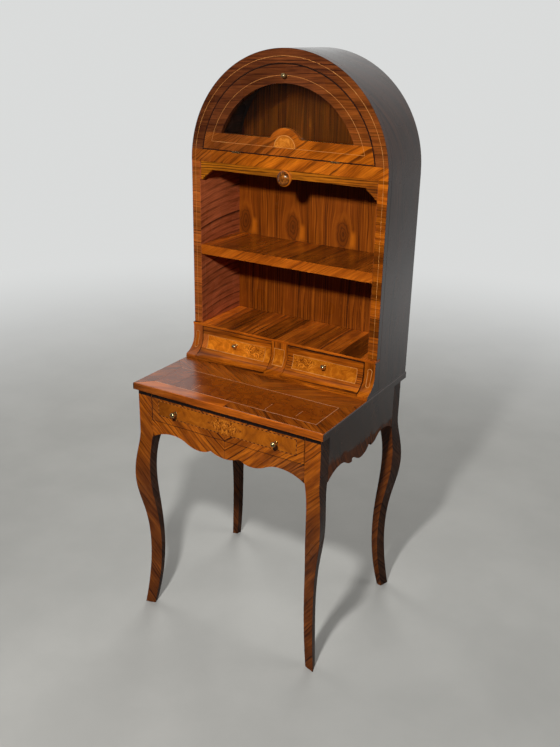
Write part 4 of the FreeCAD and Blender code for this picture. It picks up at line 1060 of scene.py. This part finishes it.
def layBaseDrawer(body, look):
    side, topGapShade = look["side"], look["topGapShade"]
    nearX, farX = side * baseLook["inner"], side * baseLook["outer"]
    boxLow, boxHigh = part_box(body + "_front")
    nearEnd, farEnd = sorted((abs(boxLow.x), abs(boxHigh.x)))
    levels = evenly(baseLook["low"], baseLook["high"], baseLook["rows"])
    nearBar, farBar = look["bars"]
    form = bmesh.new()
    layBent(form, nearX, farX, levels, coveFace, 0)
    layBent(form, side * (nearEnd + baseLook["barGap"]), nearX, levels, coveFace, nearBar)
    layBent(form, farX, side * (farEnd - baseLook["barGap"]), levels, coveFace, farBar)
    layPiece(form, body + "_panel", body, drawerBurl, barVeneer, plainBar)
    form = bmesh.new()
    loop = [(nearX, level) for level in levels] + [(farX, level) for level in reversed(levels)]
    layString(form, loop, baseLook["string"], coveFace, True)
    # painted shade: a dark line down the far end and one along the top stand for the shadow in the gap round
    # the drawer
    farGapShade = side * (farEnd - baseLook["gapShadeOffset"])
    fall = evenly(boxHigh.z - baseLook["gapShadeTop"], boxLow.z + baseLook["gapShadeFoot"], baseLook["gapShadeRows"])
    layString(form, [(farGapShade, level) for level in fall], baseLook["edge"], coveFace, finish=1)
    top = boxHigh.z - topGapShade / 2 - baseLook["topGapShadeInset"]
    along = [(side * (nearEnd + baseLook["gapShadeOffset"]), top), (farGapShade, top)]
    layString(form, along, topGapShade, coveFace, finish=1, lift=proud["upper"])
    layPiece(form, body + "_strings_and_gap_shade", body, paleString, darkStringAndShade)


def layPosts():
    half, wide, rows = postLook["half"], postLook["loopHalf"], baseLook["rows"]
    loopLow, loopHigh = postLook["loopLow"], postLook["loopHigh"]
    levels = evenly(postLook["low"], postLook["high"], rows)
    form = bmesh.new()
    layBent(form, -half, half, levels, coveFace, 0)
    layPiece(form, "centrePanel", "carcase", drawerBurl)
    form = bmesh.new()
    loop = [(-half, level) for level in levels] + [(half, level) for level in reversed(levels)]
    layString(form, loop, baseLook["string"], coveFace, True)
    for side in (1, -1):
        centre = side * postLook["loopX"]
        under = bowLine(wide, 180.0, 360.0, postLook["underSteps"], (centre, loopLow))
        swell = wide * postLook["loopSwell"]
        over = bowLine(swell, -30.0, 210.0, postLook["overSteps"], (centre, loopHigh))
        layString(form, under + over, postLook["loopString"], coveFace, True)
        layBent(form, centre - wide, centre + wide, evenly(loopLow, loopHigh, rows), coveFace, 1)
    layPiece(form, "postStrings", "carcase", paleString, loopVeneer)


layTop()
layDrawerFront()
layDrawerEdgesAndShadowBands()
layArch()
layEdges()
for body, look in baseDrawers.items():
    layBaseDrawer(body, look)
layPosts()
print("inlay laid")


# stage: a wide pale floor that melts into the pale surroundings
stageLook = {
    "floor": (0.455, 0.45, 0.423), "far": (0.70, 0.71, 0.705), "reach": 16.0, "rounds": 96,
    "mottleSize": 3.0, "mottle": (0.95, 1.04), "gritSize": 160.0, "bump": 0.05, "depth": 0.001,
    "rough": 0.65, "shine": 0.25,
    "fade": (1.2, 4.2),  # where the floor starts and ends to melt away
    "bounce": 0.30,      # share of the floor's colour that lights the object
    "gloss": 0.40,       # share of the floor's colour that shows in polished wood
    "dim": 0.02,         # what the surroundings give to the object
    "room": (-0.60, 0.25), "hush": 0.05,   # the room in front of the desk keeps this share of the pale light
}
lamps = {
    "keyLamp": {"turn": 15.5, "rise": 34.1, "away": 1.886, "size": 0.14, "power": 39.0},
    "backLamp": {"turn": 200.0, "rise": 40.0, "away": 4.5, "size": 2.4, "power": 85.0},
    "leftLamp": {"turn": -105.0, "rise": 35.0, "away": 4.5, "size": 2.4, "power": 50.0},
    "rightLamp": {"turn": 110.0, "rise": 35.0, "away": 4.5, "size": 2.4, "power": 30.0},
}
lampAim = Vector((0.0, 0.0, 0.85))   # the middle of the desk


def roomShare(toward, rays):
    # pale behind the desk, a darker room in front of it, which the camera doesn't see
    room = span(splitPlace(toward)[1], *stageLook["room"], stageLook["hush"], 1.0)
    return calc("MAXIMUM", room, rays["Is Camera Ray"])


def seenShare(rays):
    seen = calc("MAXIMUM", rays["Is Camera Ray"], rays["Is Glossy Ray"])
    return calc("MAXIMUM", seen, rays["Is Transmission Ray"])


def floorPaint():
    finish = newFinish("floorPaint")
    place = ownPlace()
    mottle = overCloud(cloud(place, stageLook["mottleSize"], 5.0))
    grit = cloud(place, stageLook["gritSize"], 2.0)
    low, high = [[part * share for part in stageLook["floor"]] for share in stageLook["mottle"]]
    colour = tint(mottle, low, high)
    rays = put("ShaderNodeLightPath").outputs
    seen = seenShare(rays)
    colour = scaled(colour, span(seen, 0.0, 1.0, stageLook["bounce"], 1.0))
    colour = scaled(colour, span(rays["Is Glossy Ray"], 0.0, 1.0, 1.0, stageLook["gloss"]))
    feeds = {
        "Base Color": colour, "Roughness": stageLook["rough"], "Normal": dents(stageLook, grit),
        "Specular IOR Level": stageLook["shine"],
    }
    shader = put("ShaderNodeBsdfPrincipled", feeds)
    room = roomShare(vecCalc("NORMALIZE", place), rays)
    glow = put("ShaderNodeEmission", {"Color": (*stageLook["far"], 1.0), "Strength": room})
    fade = times(span(farness(place), *stageLook["fade"]), seen)
    show(put("ShaderNodeMixShader", {0: fade, 1: shader.outputs[0], 2: glow.outputs[0]}))
    return finish


def setStage():
    form = bmesh.new()
    bmesh.ops.create_circle(form, cap_ends=True, segments=stageLook["rounds"], radius=stageLook["reach"])
    mesh = bpy.data.meshes.new("floor")
    form.to_mesh(mesh)
    form.free()
    mesh.materials.append(floorPaint())
    floor = bpy.data.objects.new("floor", mesh)
    bpy.context.scene.collection.objects.link(floor)


def setSurroundings():
    bpy.context.scene.world = openTree(bpy.data.worlds.new("studio"))
    rays = put("ShaderNodeLightPath").outputs
    dim = stageLook["dim"]
    quiet = put("ShaderNodeBackground", {"Color": (dim, dim, dim, 1.0), "Strength": 1.0})
    room = roomShare(put("ShaderNodeTexCoord").outputs["Generated"], rays)
    pale = put("ShaderNodeBackground", {"Color": (*stageLook["far"], 1.0), "Strength": room})
    seen = seenShare(rays)
    mixed = put("ShaderNodeMixShader", {0: seen, 1: quiet.outputs[0], 2: pale.outputs[0]})
    put("ShaderNodeOutputWorld", {"Surface": mixed.outputs[0]})


def hangLamp(name, look):
    turn = math.radians(look["turn"])
    rise = math.radians(look["rise"])
    back = Vector((math.sin(turn) * math.cos(rise), -math.cos(turn) * math.cos(rise), math.sin(rise)))
    lamp = bpy.data.lights.new(name, "AREA")
    lamp.shape = "DISK"
    lamp.size = look["size"]
    lamp.energy = look["power"]
    hung = bpy.data.objects.new(name, lamp)
    bpy.context.scene.collection.objects.link(hung)
    hung.location = lampAim + back * look["away"]
    hung.rotation_mode = "QUATERNION"
    hung.rotation_quaternion = (-back).to_track_quat("-Z", "Y")
    hung.visible_glossy = name == "keyLamp"   # only the key shows as a highlight


setStage()
setSurroundings()
for name, look in lamps.items():
    hangLamp(name, look)
print("stage, surroundings and lamps set")

bpy.context.scene.view_settings.view_transform = "Standard"
